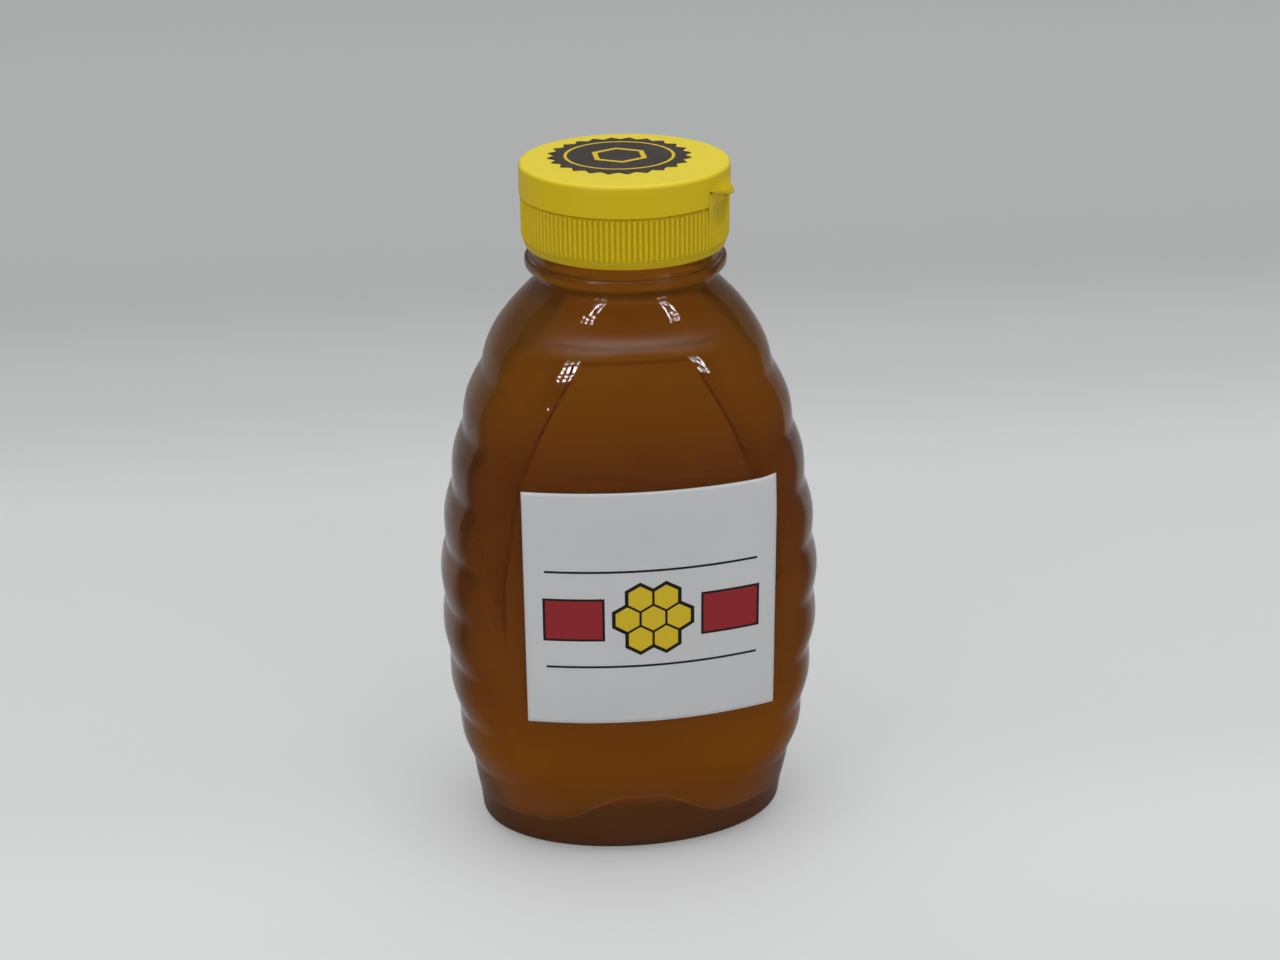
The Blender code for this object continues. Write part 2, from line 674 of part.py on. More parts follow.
def panel_front(x, height):
    """How far the front of the body stands out at this place, without the grooves."""
    width, depth, panel, exponent = body_section(height)
    oval_front = depth * np.clip(1 - np.abs(x / width) ** exponent, 0, 1) ** (1 / exponent)
    return np.minimum(oval_front, panel - x**2 / (2 * PANEL_RADIUS))


def make_label(parts, paper):
    """A thin square sheet that follows the front panel."""
    across = LABEL_SHIFT + np.linspace(-LABEL_WIDTH / 2, LABEL_WIDTH / 2, LABEL_COLUMNS)
    up = LABEL_MIDDLE_HEIGHT + np.linspace(-LABEL_HEIGHT / 2, LABEL_HEIGHT / 2, LABEL_ROWS)
    points = [(x, -panel_front(x, z) - GAP, z) for z in up for x in across]
    faces = []
    for row in range(LABEL_ROWS - 1):
        for column in range(LABEL_COLUMNS - 1):
            here = row * LABEL_COLUMNS + column
            faces.append((here, here + 1, here + LABEL_COLUMNS + 1, here + LABEL_COLUMNS))
    label = new_object("front_label", mesh_of("front_label", points, faces), parts, paper)
    sheet = label.modifiers.new("sheet", "SOLIDIFY")
    sheet.thickness = LABEL_THICKNESS
    sheet.offset = 1
    return label


def make_sticker(parts, film):
    """A flat round sticker with a toothed edge on the lid's top."""
    outline = ring_outline(STICKER_RADIUS, 2 * STICKER_POINTS, STICKER_RADIUS - STICKER_POINT_HEIGHT)
    sticker = outline_piece("lid_sticker", [outline], STICKER_THICKNESS, parts, film)
    sticker.location = (STICKER_SHIFT_X, STICKER_SHIFT_Y, LID_TOP + GAP + STICKER_THICKNESS / 2)
    return sticker


def new_axis(name, origin, parts, carried):
    """An empty on a joint's axis, which carries these pieces and leaves them where they are."""
    axis = new_object(name, None, parts)
    axis.location = origin
    axis.empty_display_size = HINGE_WIDTH
    for piece in carried:
        piece.parent = axis
        piece.matrix_parent_inverse = Matrix.Translation(origin).inverted()
    return axis


def main():
    clear_scene()
    parts = new_collection("honey_squeeze_bottle")
    cutters = new_collection("cutters", rendered=False)
    clear_plastic = new_material("clear_bottle_plastic", (0.95, 0.95, 0.94), 0.05, 1.0, 1.57)
    honey_material = new_material("amber_honey", (0.35, 0.13, 0.02), 0.1, 0.0, 1.49)
    yellow_plastic = new_material("yellow_closure_plastic", (0.72, 0.52, 0.02), 0.42)
    foam = new_material("white_liner_foam", (0.85, 0.85, 0.83), 0.8)
    paper = new_material("white_label_paper", (0.75, 0.75, 0.75), 0.45)
    film = new_material("brown_sticker_film", (0.09, 0.07, 0.06), 0.5)

    make_bottle(parts, cutters, clear_plastic)
    make_honey(parts, honey_material)
    make_label(parts, paper)
    liner = make_liner(parts, foam)
    base = make_closure_base(parts, cutters, yellow_plastic)
    lid = make_lid(parts, cutters, yellow_plastic)
    strap = make_hinge_strap(parts, yellow_plastic)
    sticker = make_sticker(parts, film)

    hinge_side = (LID_RADIUS * math.cos(HINGE_TURN), LID_RADIUS * math.sin(HINGE_TURN))
    lid_axis = new_axis("lid_hinge_axis", (*hinge_side, HINGE_AXIS_HEIGHT), parts, [lid, sticker])
    new_axis("closure_turn_axis", (0, 0, SKIRT_BOTTOM), parts, [liner, base, strap, lid_axis])


main()
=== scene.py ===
"""The looks of a squeeze bottle of honey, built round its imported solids.

Every piece is a surface worked out on a grid: the rings of a round or oval piece run along its profile, outer
side upwards, and each ring runs counter-clockwise seen from above. Metres, +Z up, label facing -Y.
"""

import math

import bpy
import numpy as np
from mathutils import Matrix, Vector


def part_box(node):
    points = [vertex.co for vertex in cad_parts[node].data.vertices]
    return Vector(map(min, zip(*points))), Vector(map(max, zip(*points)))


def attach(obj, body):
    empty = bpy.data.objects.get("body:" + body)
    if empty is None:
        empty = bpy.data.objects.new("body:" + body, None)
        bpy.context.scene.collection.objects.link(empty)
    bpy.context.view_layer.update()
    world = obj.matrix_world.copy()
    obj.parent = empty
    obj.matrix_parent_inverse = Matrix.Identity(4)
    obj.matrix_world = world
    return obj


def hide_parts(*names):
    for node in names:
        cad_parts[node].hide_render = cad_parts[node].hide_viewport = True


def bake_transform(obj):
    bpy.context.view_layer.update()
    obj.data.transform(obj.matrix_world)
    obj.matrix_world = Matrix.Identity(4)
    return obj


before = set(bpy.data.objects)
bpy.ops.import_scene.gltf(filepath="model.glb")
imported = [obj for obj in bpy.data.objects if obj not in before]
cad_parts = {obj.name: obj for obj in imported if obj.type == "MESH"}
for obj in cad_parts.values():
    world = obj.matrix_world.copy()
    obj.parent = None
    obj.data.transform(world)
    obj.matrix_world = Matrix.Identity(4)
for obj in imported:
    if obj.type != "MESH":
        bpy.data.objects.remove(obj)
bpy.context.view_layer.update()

# Bottle body
BODY_HEIGHT = 0.1212
BODY_HALF_WIDTH = 0.0395
BODY_HALF_DEPTH = 0.0293
BODY_SQUARENESS_SHARE = 0.4
WALL = 0.0007
HEEL_RADIUS = 0.003
HEEL_START = math.radians(12)
HEEL_END = math.radians(84)
FOOT_RING_WIDTH = 0.0022
PUSH_UP_SLOPE_WIDTH = 0.003
PUSH_UP_HEIGHT = 0.0042
PUSH_UP_START_SHARE = 0.04
PUSH_UP_FALL_SHARE = 0.2
PANEL_HALF_DEPTH = 0.0265
PANEL_RADIUS = 0.079
PANEL_EDGE = 0.0002
TOP_GROOVE_HEIGHT = 0.1035
GROOVE_PITCH = 0.0125
GROOVE_GAPS = 7
GROOVE_DEPTH = 0.0009
GROOVE_ROUNDING_SHARE = 0.045
GROOVE_FADE_SHARE = 0.67
GROOVE_FADE_POWER = 3

# Body outline from foot to neck root: height, half width, half depth, panel depth and squareness
BODY_SHARES = (
    (0.00, 0.820, 0.695, 0.830, 0.0),
    (0.06, 0.838, 0.775, 0.865, 0.3),
    (0.13, 0.888, 0.865, 0.925, 0.7),
    (0.205, 0.935, 0.930, 0.970, 1.0),
    (0.31, 0.977, 0.985, 1.000, 1.0),
    (0.42, 1.000, 1.000, 1.000, 1.0),
    (0.51, 0.994, 1.000, 1.000, 1.0),
    (0.60, 0.964, 0.990, 1.000, 1.0),
    (0.69, 0.914, 0.957, 1.000, 1.0),
    (0.77, 0.857, 0.912, 0.976, 1.0),
    (0.85, 0.770, 0.858, 0.922, 0.9),
    (0.905, 0.695, 0.820, 0.888, 0.7),
    (0.925, 0.658, 0.786, 0.862, 0.6),
    (0.936, 0.636, 0.745, 0.840, 0.5),
    (0.948, 0.610, 0.692, 0.800, 0.45),
    (0.966, 0.564, 0.648, 0.760, 0.3),
)

# Neck
NECK_ROOT_RADIUS = 0.0181
NECK_RADIUS = 0.01755
NECK_BORE_RADIUS = 0.0159
BORE_BOTTOM = BODY_HEIGHT + 0.0032
BORE_FLARE_TOP = BODY_HEIGHT + 0.0018
BORE_FLARE_BOTTOM = BODY_HEIGHT + 0.0010
BEAD_MIDDLE = 0.1250
BEAD_THICKNESS = 0.0026
BEAD_RADIUS = 0.02005
BEAD_ROUNDNESS = 0.98
LEDGE_RADIUS = 0.0189
LEDGE_TOP = 0.1288
LIP_HEIGHT = 0.1360
THREAD_PITCH = 0.004233
THREAD_HEIGHT = 0.0012
THREAD_TOP = 0.1336
THREAD_TURNS = 1.1
THREAD_FADE_TURNS = 0.08
THREAD_SPREAD = 1.15

# Honey and the seal liner
FILL_HEIGHT = 0.1310
HONEY_OVERLAP = 0.00006
HONEY_RIM_WIDTH = 0.0009
HONEY_RIM_HEIGHT = 0.0004
HONEY_RIM_SHARES = (0.2, 0.5, 1, 2, 4)
HONEY_RIM_STEEPNESS = 3
LINER_HOLE_RADIUS = 0.0045
LINER_ROUNDING = 0.00015

# Closure
SKIRT_BOTTOM = 0.1286
SKIRT_RADIUS = 0.02005
SKIRT_BORE_RADIUS = 0.01915
RIB_COUNT = 120
RIB_DEPTH = 0.00048
RIB_WIDENING = 2.2
RIB_FOOT_FADE = 0.0009
RIB_HEAD_FADE = 0.0003
PLAIN_BAND_HEIGHT = 0.0012
PLAIN_BAND_REACH = 0.0001
PLAIN_BAND_TAPER = 0.00025
DECK_UNDERSIDE = 0.1374
DECK_TOP = 0.1386
DECK_FLAT = (0.0067, 0.0178)
SEAT_RADIUS = 0.01815
SEAT_BOTTOM = 0.1353
ORIFICE_RADIUS = 0.003175
SPOUT_TIP_RADIUS = 0.004575
SPOUT_ROOT_RADIUS = 0.005975
SPOUT_TOP = 0.1418
CLOSURE_THREAD_HEIGHT = 0.0008

# Lid
LID_BOTTOM = 0.13875
LID_UNDERSIDE = 0.1438
LID_TOP = 0.1450
LID_RADIUS = 0.0207
LID_BORE_RADIUS = 0.0196
LID_EDGE_RADIUS = 0.0009
LID_FLAT = (0.0036, 0.0188)
LID_WALL_FOOT = 0.0006
PLUG_RADIUS = 0.002875
PLUG_BOTTOM = 0.1403

# Thumb lip, the notch below it, the slit beside it and the scoop in the skirt
THUMB_TURN = math.radians(-32.5)
THUMB_WIDTH = 0.0094
THUMB_LIP_REACH = 0.0012
THUMB_LIP_HEIGHT = 0.0050
THUMB_LIP_ROUNDING = 0.0014
THUMB_LIP_EDGE_SHARE = 0.7
THUMB_LIP_FLARE = 1.3
THUMB_LIP_FADE_START = THUMB_WIDTH / 2 - 0.0012
THUMB_LIP_FADE_END = THUMB_WIDTH / 2 + 0.0004
THUMB_NOTCH_HEIGHT = 0.0030
THUMB_NOTCH_FAR_HEIGHT = 0.0003
THUMB_NOTCH_SIDE = 0.0003
THUMB_SLIT_WIDTH = 0.0008
THUMB_SLIT_DEPTH = 0.0027
THUMB_SLIT_TAPER_SHARE = 0.5
THUMB_SLIT_SHIFT = 0.0002
SCOOP_RADIUS = 0.018
SCOOP_DEPTH = 0.0011
SCOOP_LEAST_WALL = 0.0001
TONGUE_TOP = 0.1411
TONGUE_BOTTOM = DECK_TOP - 0.0005
TONGUE_INNER = 0.0186
TONGUE_FAR_GAP = 0.0003
TONGUE_CORNER_POWER = 0.25
TONGUE_SIDE_SHARE = 0.85
# The tongue's rounded top: shares of its height, and how far it is drawn in there
TONGUE_TOP_SHARES = (0.92, 0.97, 1.0)
TONGUE_TOP_INSETS = (0.00006, 0.00015, 0.0003)

# Strap hinge
HINGE_TURN = THUMB_TURN + math.pi
HINGE_WIDTH = 0.009
HINGE_THICKNESS = 0.0005
HINGE_HEIGHT = 0.0024
HINGE_AXIS_HEIGHT = 0.13875
HINGE_GAP = 0.0003
HINGE_FOLD = 0.0004

# Label and sticker
LABEL_WIDTH = 0.0508
LABEL_HEIGHT = 0.0508
LABEL_THICKNESS = 0.00012
LABEL_LIFT = 0.00022
LABEL_MIDDLE_HEIGHT = 0.0604
LABEL_SHIFT = 0.0017
STICKER_RADIUS = 0.0142
STICKER_POINT_HEIGHT = 0.0015
STICKER_POINTS = 24
STICKER_THICKNESS = 0.00012
STICKER_LIFT = 0.00003
STICKER_SHIFT = (-0.0007, 0.0024)

# Grid counts and spacings
BODY_COLUMNS = 180
BODY_ROWS = 168
SHOULDER_ROWS = 44
PUSH_UP_ROWS = 14
PUSH_UP_SLOPE_ROWS = 12
HEEL_ROWS = 8
NECK_SPACING = 0.00022
NECK_BORE_STEP = 5
NECK_BORE_ENDS = 3
CLOSURE_COLUMNS = 6 * RIB_COUNT
CLOSURE_SPACING = 0.00048
LID_SPACING = 0.0004
FLAT_STEP = 6
LINER_COLUMNS = 120
LINER_SPACING = 0.001
TONGUE_ROWS = 12
TONGUE_COLUMNS = 64
STRAP_ROWS = 28
STRAP_SIDE = 25
LABEL_GRID = 64
STICKER_SPACING = 0.0006
STICKER_RINGS = (0.02, 0.5, 0.9, 1.0)
FLOOR_ROWS = 36
FLOOR_CURVE_ROWS = 24
FLOOR_COLUMNS = 60
# The largest share of a side that a rounding takes up, and the half angle past which a corner gets none
ROUNDING_SHARE = 0.49
STRAIGHT = math.radians(89)
# Two lengths nearer than this are the same
TOUCH = 1e-6

# Honey's colour from the floor up to this height: its amber tone, with painted light and shade that make it
# lighter or darker by height
HONEY_PAINTED_SHADES_HEIGHT = 0.130
HONEY_PAINTED_SHADES = (
    (0.0, (0.45, 0.150, 0.014)),
    (0.10, (0.50, 0.180, 0.014)),
    (0.18, (0.57, 0.222, 0.014)),
    (0.32, (0.43, 0.165, 0.022)),
    (0.66, (0.34, 0.118, 0.020)),
    (0.80, (0.52, 0.207, 0.017)),
    (0.92, (0.46, 0.180, 0.014)),
    (1.0, (0.83, 0.320, 0.018)),
)
HONEY_TINT = (0.80, 0.55, 0.10, 1)
HONEY_DENSITY = 60.0

# Painted shade in the honey along the creases: the panel's half width up the bottle, its top, the cove's rim,
# and their painted shades
PANEL_EDGES = ((0.0, 0.55), (0.25, 0.67), (0.50, 0.67), (0.662, 0.583), (0.74, 0.475), (0.79, 0.388),
               (0.832, 0.310), (0.86, 0.295))
PANEL_EDGE_SCALE = 0.04
PANEL_SHIFT = 0.0008
PANEL_TOP = 0.1110
PANEL_TOP_HALF_WIDTH = 0.0118
PANEL_TOP_FADE = 0.0005
COVE_RIM = 0.1133
COVE_RIM_HALF_WIDTH = 0.0150
CREASE_PAINTED_SHADE = (0.16, 0.040, 0.006)
CREASE_CORE = 0.0001
CREASE_EDGE = 0.0007
CREASE_LEVEL_EDGE = 0.0006
CREASE_LEVEL_ENDS = (0.9, 1.1)
CREASE_SHADOW_START = -0.0003
CREASE_SHADOW_END = 0.0055
CREASE_SHADOW_SHARE = 0.4
CREASE_FADE = (0.045, 0.065)
CREASE_LEVEL_SHARE = 0.6
CREASE_SHARE = 0.6

# The hollow foot seen through the honey, painted in: its line, which rises to a hump in the middle, with
# painted shade below it and a painted highlight along it
FOOT_LINE = 0.0088
FOOT_HUMP = 0.0068
FOOT_HUMP_FLAT = 0.003
FOOT_HUMP_HALF_WIDTH = 0.019
FOOT_PAINTED_SHADE = (0.25, 0.070, 0.012)
FOOT_PAINTED_SHADE_SHARE = 0.42
FOOT_PAINTED_SHADE_EDGE = (-0.0004, 0.0006)
FOOT_PAINTED_HIGHLIGHT = (0.75, 0.330, 0.060)
FOOT_PAINTED_HIGHLIGHT_SHARE = 0.5
FOOT_PAINTED_HIGHLIGHT_EDGE = (0.0001, 0.0005)

# Yellow plastic: painted shade in the valleys between the ribs, and a painted sheen on top
VALLEY_PAINTED_SHADE = (0.57, 0.400, 0.001)
VALLEY_INNER_EDGE = (SKIRT_RADIUS - 0.0006, SKIRT_RADIUS - 0.0004)
VALLEY_TOP_EDGE = (DECK_TOP - 0.0006, DECK_TOP - 0.0002)
TOP_PAINTED_SHEEN = (0.78, 0.62, 0.045)
TOP_PAINTED_SHEEN_EDGE = (LID_TOP - 0.0006, LID_TOP - 0.0001)

# Printing on the label and the sticker
INK_DARK = (0.017, 0.010, 0.008)
INK_RED = (0.34, 0.010, 0.018)
INK_YELLOW = (0.72, 0.50, 0.004)
INK_LINE = 0.0005
PRINT_DROP = 0.002
CELL_HALF_WIDTH = 0.0026
BAR_MIDDLE = 0.0158
BAR_HALF_SIZE = (0.0056, 0.0042)
RULE_MIDDLE = 0.0105
RULE_HALF_SIZE = (0.0214, 0.00025)
RING_RADIUS = 0.0106
RING_HALF_LINE = 0.0003
STICKER_CELL_HALF_WIDTH = 0.0046

# Camera
CAMERA_TURN = math.radians(-7.0)
CAMERA_PITCH = math.radians(23.25)
CAMERA_ROLL = math.radians(-0.5)
CAMERA_SIDE = 0.0025
CAMERA_BACK = 0.3996
CAMERA_HEIGHT = 0.2487
CAMERA_NEAR = 0.01
CAMERA_FOCAL_PIXELS = 2100
IMAGE_WIDTH = 1280
SENSOR_WIDTH = 36.0

# Floor: how far it reaches, where it starts to curve up, the curve's radius and its top
FLOOR_REACH = 9.0
FLOOR_FLAT_END = 1.1
FLOOR_CURVE = 0.5
FLOOR_TOP = 2.2
# Painted shade on the floor, from near to far: darker further back, and a painted lighter band just in front
# of the bottle
FLOOR_PAINTED_SHADES_START = -0.10
FLOOR_PAINTED_SHADES_END = 0.80
FLOOR_PAINTED_SHADES = (
    (0.0, (0.64, 0.642, 0.642)),
    (0.078, (0.68, 0.68, 0.68)),
    (0.144, (0.62, 0.622, 0.622)),
    (0.30, (0.605, 0.607, 0.607)),
    (0.417, (0.50, 0.502, 0.502)),
    (0.533, (0.42, 0.421, 0.421)),
    (0.704, (0.435, 0.436, 0.436)),
    (1.0, (0.445, 0.446, 0.446)),
)
# The share of the floor's light that the camera sees as even, and that even light: a soft shadow
FLOOR_LIFT = 0.40
FLOOR_LIGHT = 0.95
# Glossy faces see the floor this dim, apart from a wedge behind the bottle
MIRRORED_FLOOR = (0.04, 0.04, 0.04)
WEDGE_SLOPE = -0.6
WEDGE_START = 0.021
WEDGE_FADE = 0.03
WEDGE_SHARE = 0.35

# Lamps: the panes of two columns, which lean in as they climb
LAMP_HEIGHTS = (0.26, 0.36, 0.48, 0.62, 0.80)
LAMP_SIZE = (0.035, 0.04)
LAMP_POWER = 0.06
LAMP_AIM = (0, 0, 0.12)
LAMP_LEAN = 0.01
LEFT_LAMP = (-0.45, -0.55)
RIGHT_LAMP = (0.35, -0.65)

# Windows that glossy faces see, each by its direction and distance
WINDOW_PANE = (0.032, 0.032)
WINDOW_COLUMNS = (-0.07, 0.0, 0.07)
WINDOW_ROWS = (0.22, 0.29, 0.37, 0.46, 0.56)
WINDOW_GLOW = 34.0
LEFT_WINDOW = (math.radians(-129), 0.71)
RIGHT_WINDOW = (math.radians(-50), 0.86)

# Sky: its strength at the horizon and how much more overhead, and the same for what glossy faces see
SKY_COLOR = (0.97, 0.99, 1.0, 1)
SKY_LIGHT = (0.36, 3.6)
MIRRORED_SKY = (0.05, 1.8)
SKY_CROWN_POWER = 8


# Grids into meshes


def place_in_scene(name, data):
    """An object for a mesh, a lamp or the camera, in the scene."""
    piece = bpy.data.objects.new(name, data)
    bpy.context.scene.collection.objects.link(piece)
    return piece


def mesh_piece(name, points, quads, triangles=np.empty((0, 3), int)):
    """An object at the origin from arrays of points, quads and triangles."""
    mesh = bpy.data.meshes.new(name)
    mesh.vertices.add(len(points))
    mesh.vertices.foreach_set("co", np.ascontiguousarray(points, np.float32).ravel())
    corners = np.concatenate([quads.ravel(), triangles.ravel()]).astype(np.int32)
    sizes = np.concatenate([np.full(len(quads), 4), np.full(len(triangles), 3)])
    starts = np.concatenate([[0], np.cumsum(sizes)[:-1]]).astype(np.int32)
    mesh.loops.add(len(corners))
    mesh.loops.foreach_set("vertex_index", corners)
    mesh.polygons.add(len(sizes))
    mesh.polygons.foreach_set("loop_start", starts)
    mesh.update(calc_edges=True)
    mesh.validate()
    mesh.shade_smooth()
    return place_in_scene(name, mesh)


def numbered(grid):
    """The number of each of a grid's points, counted along its rows."""
    rows, columns = grid.shape[:2]
    return np.arange(rows * columns).reshape(rows, columns)


def grid_quads(index):
    """The quads between a grid's points, from their numbers."""
    return np.stack([index[:-1, :-1], index[:-1, 1:], index[1:, 1:], index[1:, :-1]], axis=-1).reshape(-1, 4)


def surface_piece(name, rings, closed_rows=False):
    """A mesh from rings of points (rows x columns x 3), which wraps round its columns.

    Its rows wrap too where closed_rows is set; otherwise each end gets a fan to the middle of its last ring.
    """
    columns = rings.shape[1]
    points = rings.reshape(-1, 3)
    index = numbered(rings)
    index = np.concatenate([index, index[:, :1]], axis=1)
    if closed_rows:
        return mesh_piece(name, points, grid_quads(np.concatenate([index, index[:1]])))
    low, high = np.full(columns, len(points)), np.full(columns, len(points) + 1)
    middles = np.stack([rings[0].mean(axis=0), rings[-1].mean(axis=0)])
    first = np.stack([low, index[0, 1:], index[0, :-1]], axis=-1)
    last = np.stack([high, index[-1, :-1], index[-1, 1:]], axis=-1)
    points, fans = np.concatenate([points, middles]), np.concatenate([first, last])
    return mesh_piece(name, points, grid_quads(index), fans)


def dress(piece, material, body, slot, *nodes):
    """Gives the piece its finish, and lets it ride on a body in place of these nodes."""
    piece.data.materials.append(material)
    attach(piece, body)
    if nodes:
        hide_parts(*nodes)


def points_at(x, y, z):
    """One array of points from their X, Y and Z, each carried over the whole grid."""
    return np.stack(np.broadcast_arrays(x, y, z), axis=-1)


def round_turns(columns):
    """Even angles round one turn from +X."""
    return np.linspace(0, 2 * math.pi, columns, endpoint=False)


def rings_of(radius, height, columns):
    """Radii and heights, given one a row or one a point, turned round Z."""
    turns = round_turns(columns)
    return points_at(radius * np.cos(turns), radius * np.sin(turns), height)


def turns_from(direction):
    """The angle of each of the closure's columns from this direction, between minus and plus half a turn."""
    return (round_turns(CLOSURE_COLUMNS) - direction + math.pi) % (2 * math.pi) - math.pi


def rounded_profile(corners, spacing, arc_steps=6):
    """Points along a line through corners of (radius, height, rounding).

    An arc that touches both sides rounds each corner. No step between arcs is longer than the spacing.
    """
    corners = np.array(corners, float)
    places, roundings = corners[:, :2], corners[:, 2]
    line = [places[0]]
    for before, here, after, rounding in zip(places[:-2], places[1:-1], places[2:], roundings[1:-1]):
        back, on = before - here, after - here
        back_length, on_length = np.linalg.norm(back), np.linalg.norm(on)
        back, on = back / back_length, on / on_length
        half = math.acos(np.clip(back @ on, -1, 1)) / 2
        if rounding == 0 or half > STRAIGHT:
            line.append(here)
            continue
        run = min(rounding / math.tan(half), ROUNDING_SHARE * min(back_length, on_length))
        radius = run * math.tan(half)
        inward = (back + on) / np.linalg.norm(back + on)
        centre = here + inward * radius / math.sin(half)
        start, end = here + back * run - centre, here + on * run - centre
        swing = math.pi - 2 * half
        shares = np.linspace(0, 1, arc_steps + 1)[:, None]
        arc = (np.sin((1 - shares) * swing) * start + np.sin(shares * swing) * end) / math.sin(swing)
        line.extend(centre + arc)
    line.append(places[-1])
    return stepped(np.array(line), spacing)


def stepped(line, spacing):
    """The line with points added so that no step is longer than the spacing."""
    pieces = []
    for start, end in zip(line[:-1], line[1:]):
        count = max(1, math.ceil(np.linalg.norm(end - start) / spacing))
        pieces.append(start + (end - start) * np.linspace(0, 1, count, endpoint=False)[:, None])
    pieces.append(line[-1:])
    return np.concatenate(pieces)


def thinned(line, at_height, radii):
    """The line with one point in FLAT_STEP where it is at the height asked for and between two radii."""
    flat = at_height & (line[:, 0] > radii[0]) & (line[:, 0] < radii[1])
    return line[~flat | (np.arange(len(line)) % FLAT_STEP == 0)]


def smooth_step(low, high, value):
    """0 below the low value and 1 above the high one; between them 3 s^2 - 2 s^3 of the share s passed."""
    share = np.clip((value - low) / (high - low), 0, 1)
    return share * share * (3 - 2 * share)


def signed_power(value, power):
    """A power of a value's size, with the value's sign."""
    return np.sign(value) * np.abs(value) ** power


# Bottle body


def smooth_curve(heights, values, height):
    """A cubic through the values, whose slope at each of them is that of its neighbours."""
    slopes = np.gradient(values, heights)
    low = np.clip(np.searchsorted(heights, height, side="right") - 1, 0, len(heights) - 2)
    span = heights[low + 1] - heights[low]
    t = (height - heights[low]) / span
    from_low = values[low] * (1 + 2 * t) * (1 - t) ** 2 + slopes[low] * span * t * (1 - t) ** 2
    from_high = values[low + 1] * (3 - 2 * t) * t**2 - slopes[low + 1] * span * (1 - t) * t**2
    return from_low + from_high


def body_section(height):
    """Half width, half depth, panel depth and exponent of the body's oval at these heights."""
    shares = np.array(BODY_SHARES)
    heights = np.append(shares[:, 0] * BODY_HEIGHT, BODY_HEIGHT)
    half_width = np.append(shares[:, 1] * BODY_HALF_WIDTH, NECK_ROOT_RADIUS)
    half_depth = np.append(shares[:, 2] * BODY_HALF_DEPTH, NECK_ROOT_RADIUS)
    panel_depth = np.append(shares[:, 3] * PANEL_HALF_DEPTH, NECK_ROOT_RADIUS)
    squareness = np.append(shares[:, 4] * BODY_SQUARENESS_SHARE, 0)
    columns = (half_width, half_depth, panel_depth, squareness)
    width, depth, panel, square = (smooth_curve(heights, column, height) for column in columns)
    return width, depth, panel, 2 + np.maximum(0, square)


def groove_inset(height):
    """How far the grooves draw the body in: rounds between them, with a small radius in each groove."""
    turn = (TOP_GROOVE_HEIGHT - height) / GROOVE_PITCH
    from_groove = np.abs(turn - np.round(turn))
    eased = np.sqrt(from_groove**2 + GROOVE_ROUNDING_SHARE**2) - GROOVE_ROUNDING_SHARE
    between = GROOVE_DEPTH * (1 - 2 * eased) ** 2
    past = np.maximum(-turn, turn - GROOVE_GAPS)
    fading = GROOVE_DEPTH * np.maximum(0, 1 - past / GROOVE_FADE_SHARE) ** 2
    return np.where(past > 0, fading, between)


def lesser(a, b, blend):
    """The lesser of two lengths, with the corner between them eased."""
    return (a + b - np.sqrt((a - b) ** 2 + blend**2)) / 2


def body_rings(height, inset=0.0):
    """Rings of the body: a squared ellipse less the grooves, cut flatter by the front and back panels."""
    height, inset = height[:, None], np.atleast_1d(inset)[:, None]
    width, depth, panel, exponent = body_section(height)
    across, along = np.cos(round_turns(BODY_COLUMNS)), np.sin(round_turns(BODY_COLUMNS))
    drawn_in = inset + groove_inset(height) * np.abs(across) ** GROOVE_FADE_POWER
    x = (width - drawn_in) * signed_power(across, 2 / exponent)
    y = (depth - drawn_in) * np.abs(along) ** (2 / exponent)
    flat = panel - inset - x**2 / (2 * PANEL_RADIUS)
    y = np.sign(along) * np.minimum(y, np.maximum(lesser(y, flat, PANEL_EDGE), 0))
    return points_at(x, y, height)


def oval_rings(half_width, half_depth, height):
    """Rings of plain ellipses."""
    half_width, half_depth, height = (np.atleast_1d(row)[:, None] for row in (half_width, half_depth, height))
    turns = round_turns(BODY_COLUMNS)
    return points_at(half_width * np.cos(turns), half_depth * np.sin(turns), height)


def foot_rings():
    """The hollow foot from near its middle out to the ring that it stands on, then a quarter circle of heel.

    Its dome falls by the fourth power of the way out, and a smooth step leads down to the ring.
    """
    width, depth, _, _ = body_section(np.array([0.0]))
    ring_width, ring_depth = width[0] - HEEL_RADIUS, depth[0] - HEEL_RADIUS
    slope_top = FOOT_RING_WIDTH + PUSH_UP_SLOPE_WIDTH
    way = np.linspace(PUSH_UP_START_SHARE, 1, PUSH_UP_ROWS)
    dome = oval_rings((ring_width - slope_top) * way, (ring_depth - slope_top) * way,
                      PUSH_UP_HEIGHT * (1 - PUSH_UP_FALL_SHARE * way**4))
    share = np.linspace(0, 1, PUSH_UP_SLOPE_ROWS)[1:]
    slope_height = PUSH_UP_HEIGHT * (1 - PUSH_UP_FALL_SHARE) * (1 - smooth_step(0, 1, share))
    slope = oval_rings(ring_width - slope_top + PUSH_UP_SLOPE_WIDTH * share,
                       ring_depth - slope_top + PUSH_UP_SLOPE_WIDTH * share, slope_height)
    ring = oval_rings(ring_width, ring_depth, 0.0)
    turns = np.linspace(HEEL_START, HEEL_END, HEEL_ROWS)
    heel = body_rings(HEEL_RADIUS * (1 - np.cos(turns)), HEEL_RADIUS * (1 - np.sin(turns)))
    return np.concatenate([dome, slope, ring, heel])


def outer_rings():
    """The body's outer side: foot and heel, even rows up the grooves and closer rows over the shoulder."""
    low = np.linspace(HEEL_RADIUS, TOP_GROOVE_HEIGHT, BODY_ROWS, endpoint=False)
    height = np.concatenate([low, np.linspace(TOP_GROOVE_HEIGHT, BODY_HEIGHT, SHOULDER_ROWS)])
    return np.concatenate([foot_rings(), body_rings(height)])


def outward_normals(rings):
    """Unit normals of a grid of rings, from the directions along and across it."""
    across = np.roll(rings, -1, axis=1) - np.roll(rings, 1, axis=1)
    along = np.gradient(rings, axis=0)
    normals = np.cross(across, along)
    return normals / np.linalg.norm(normals, axis=-1, keepdims=True)


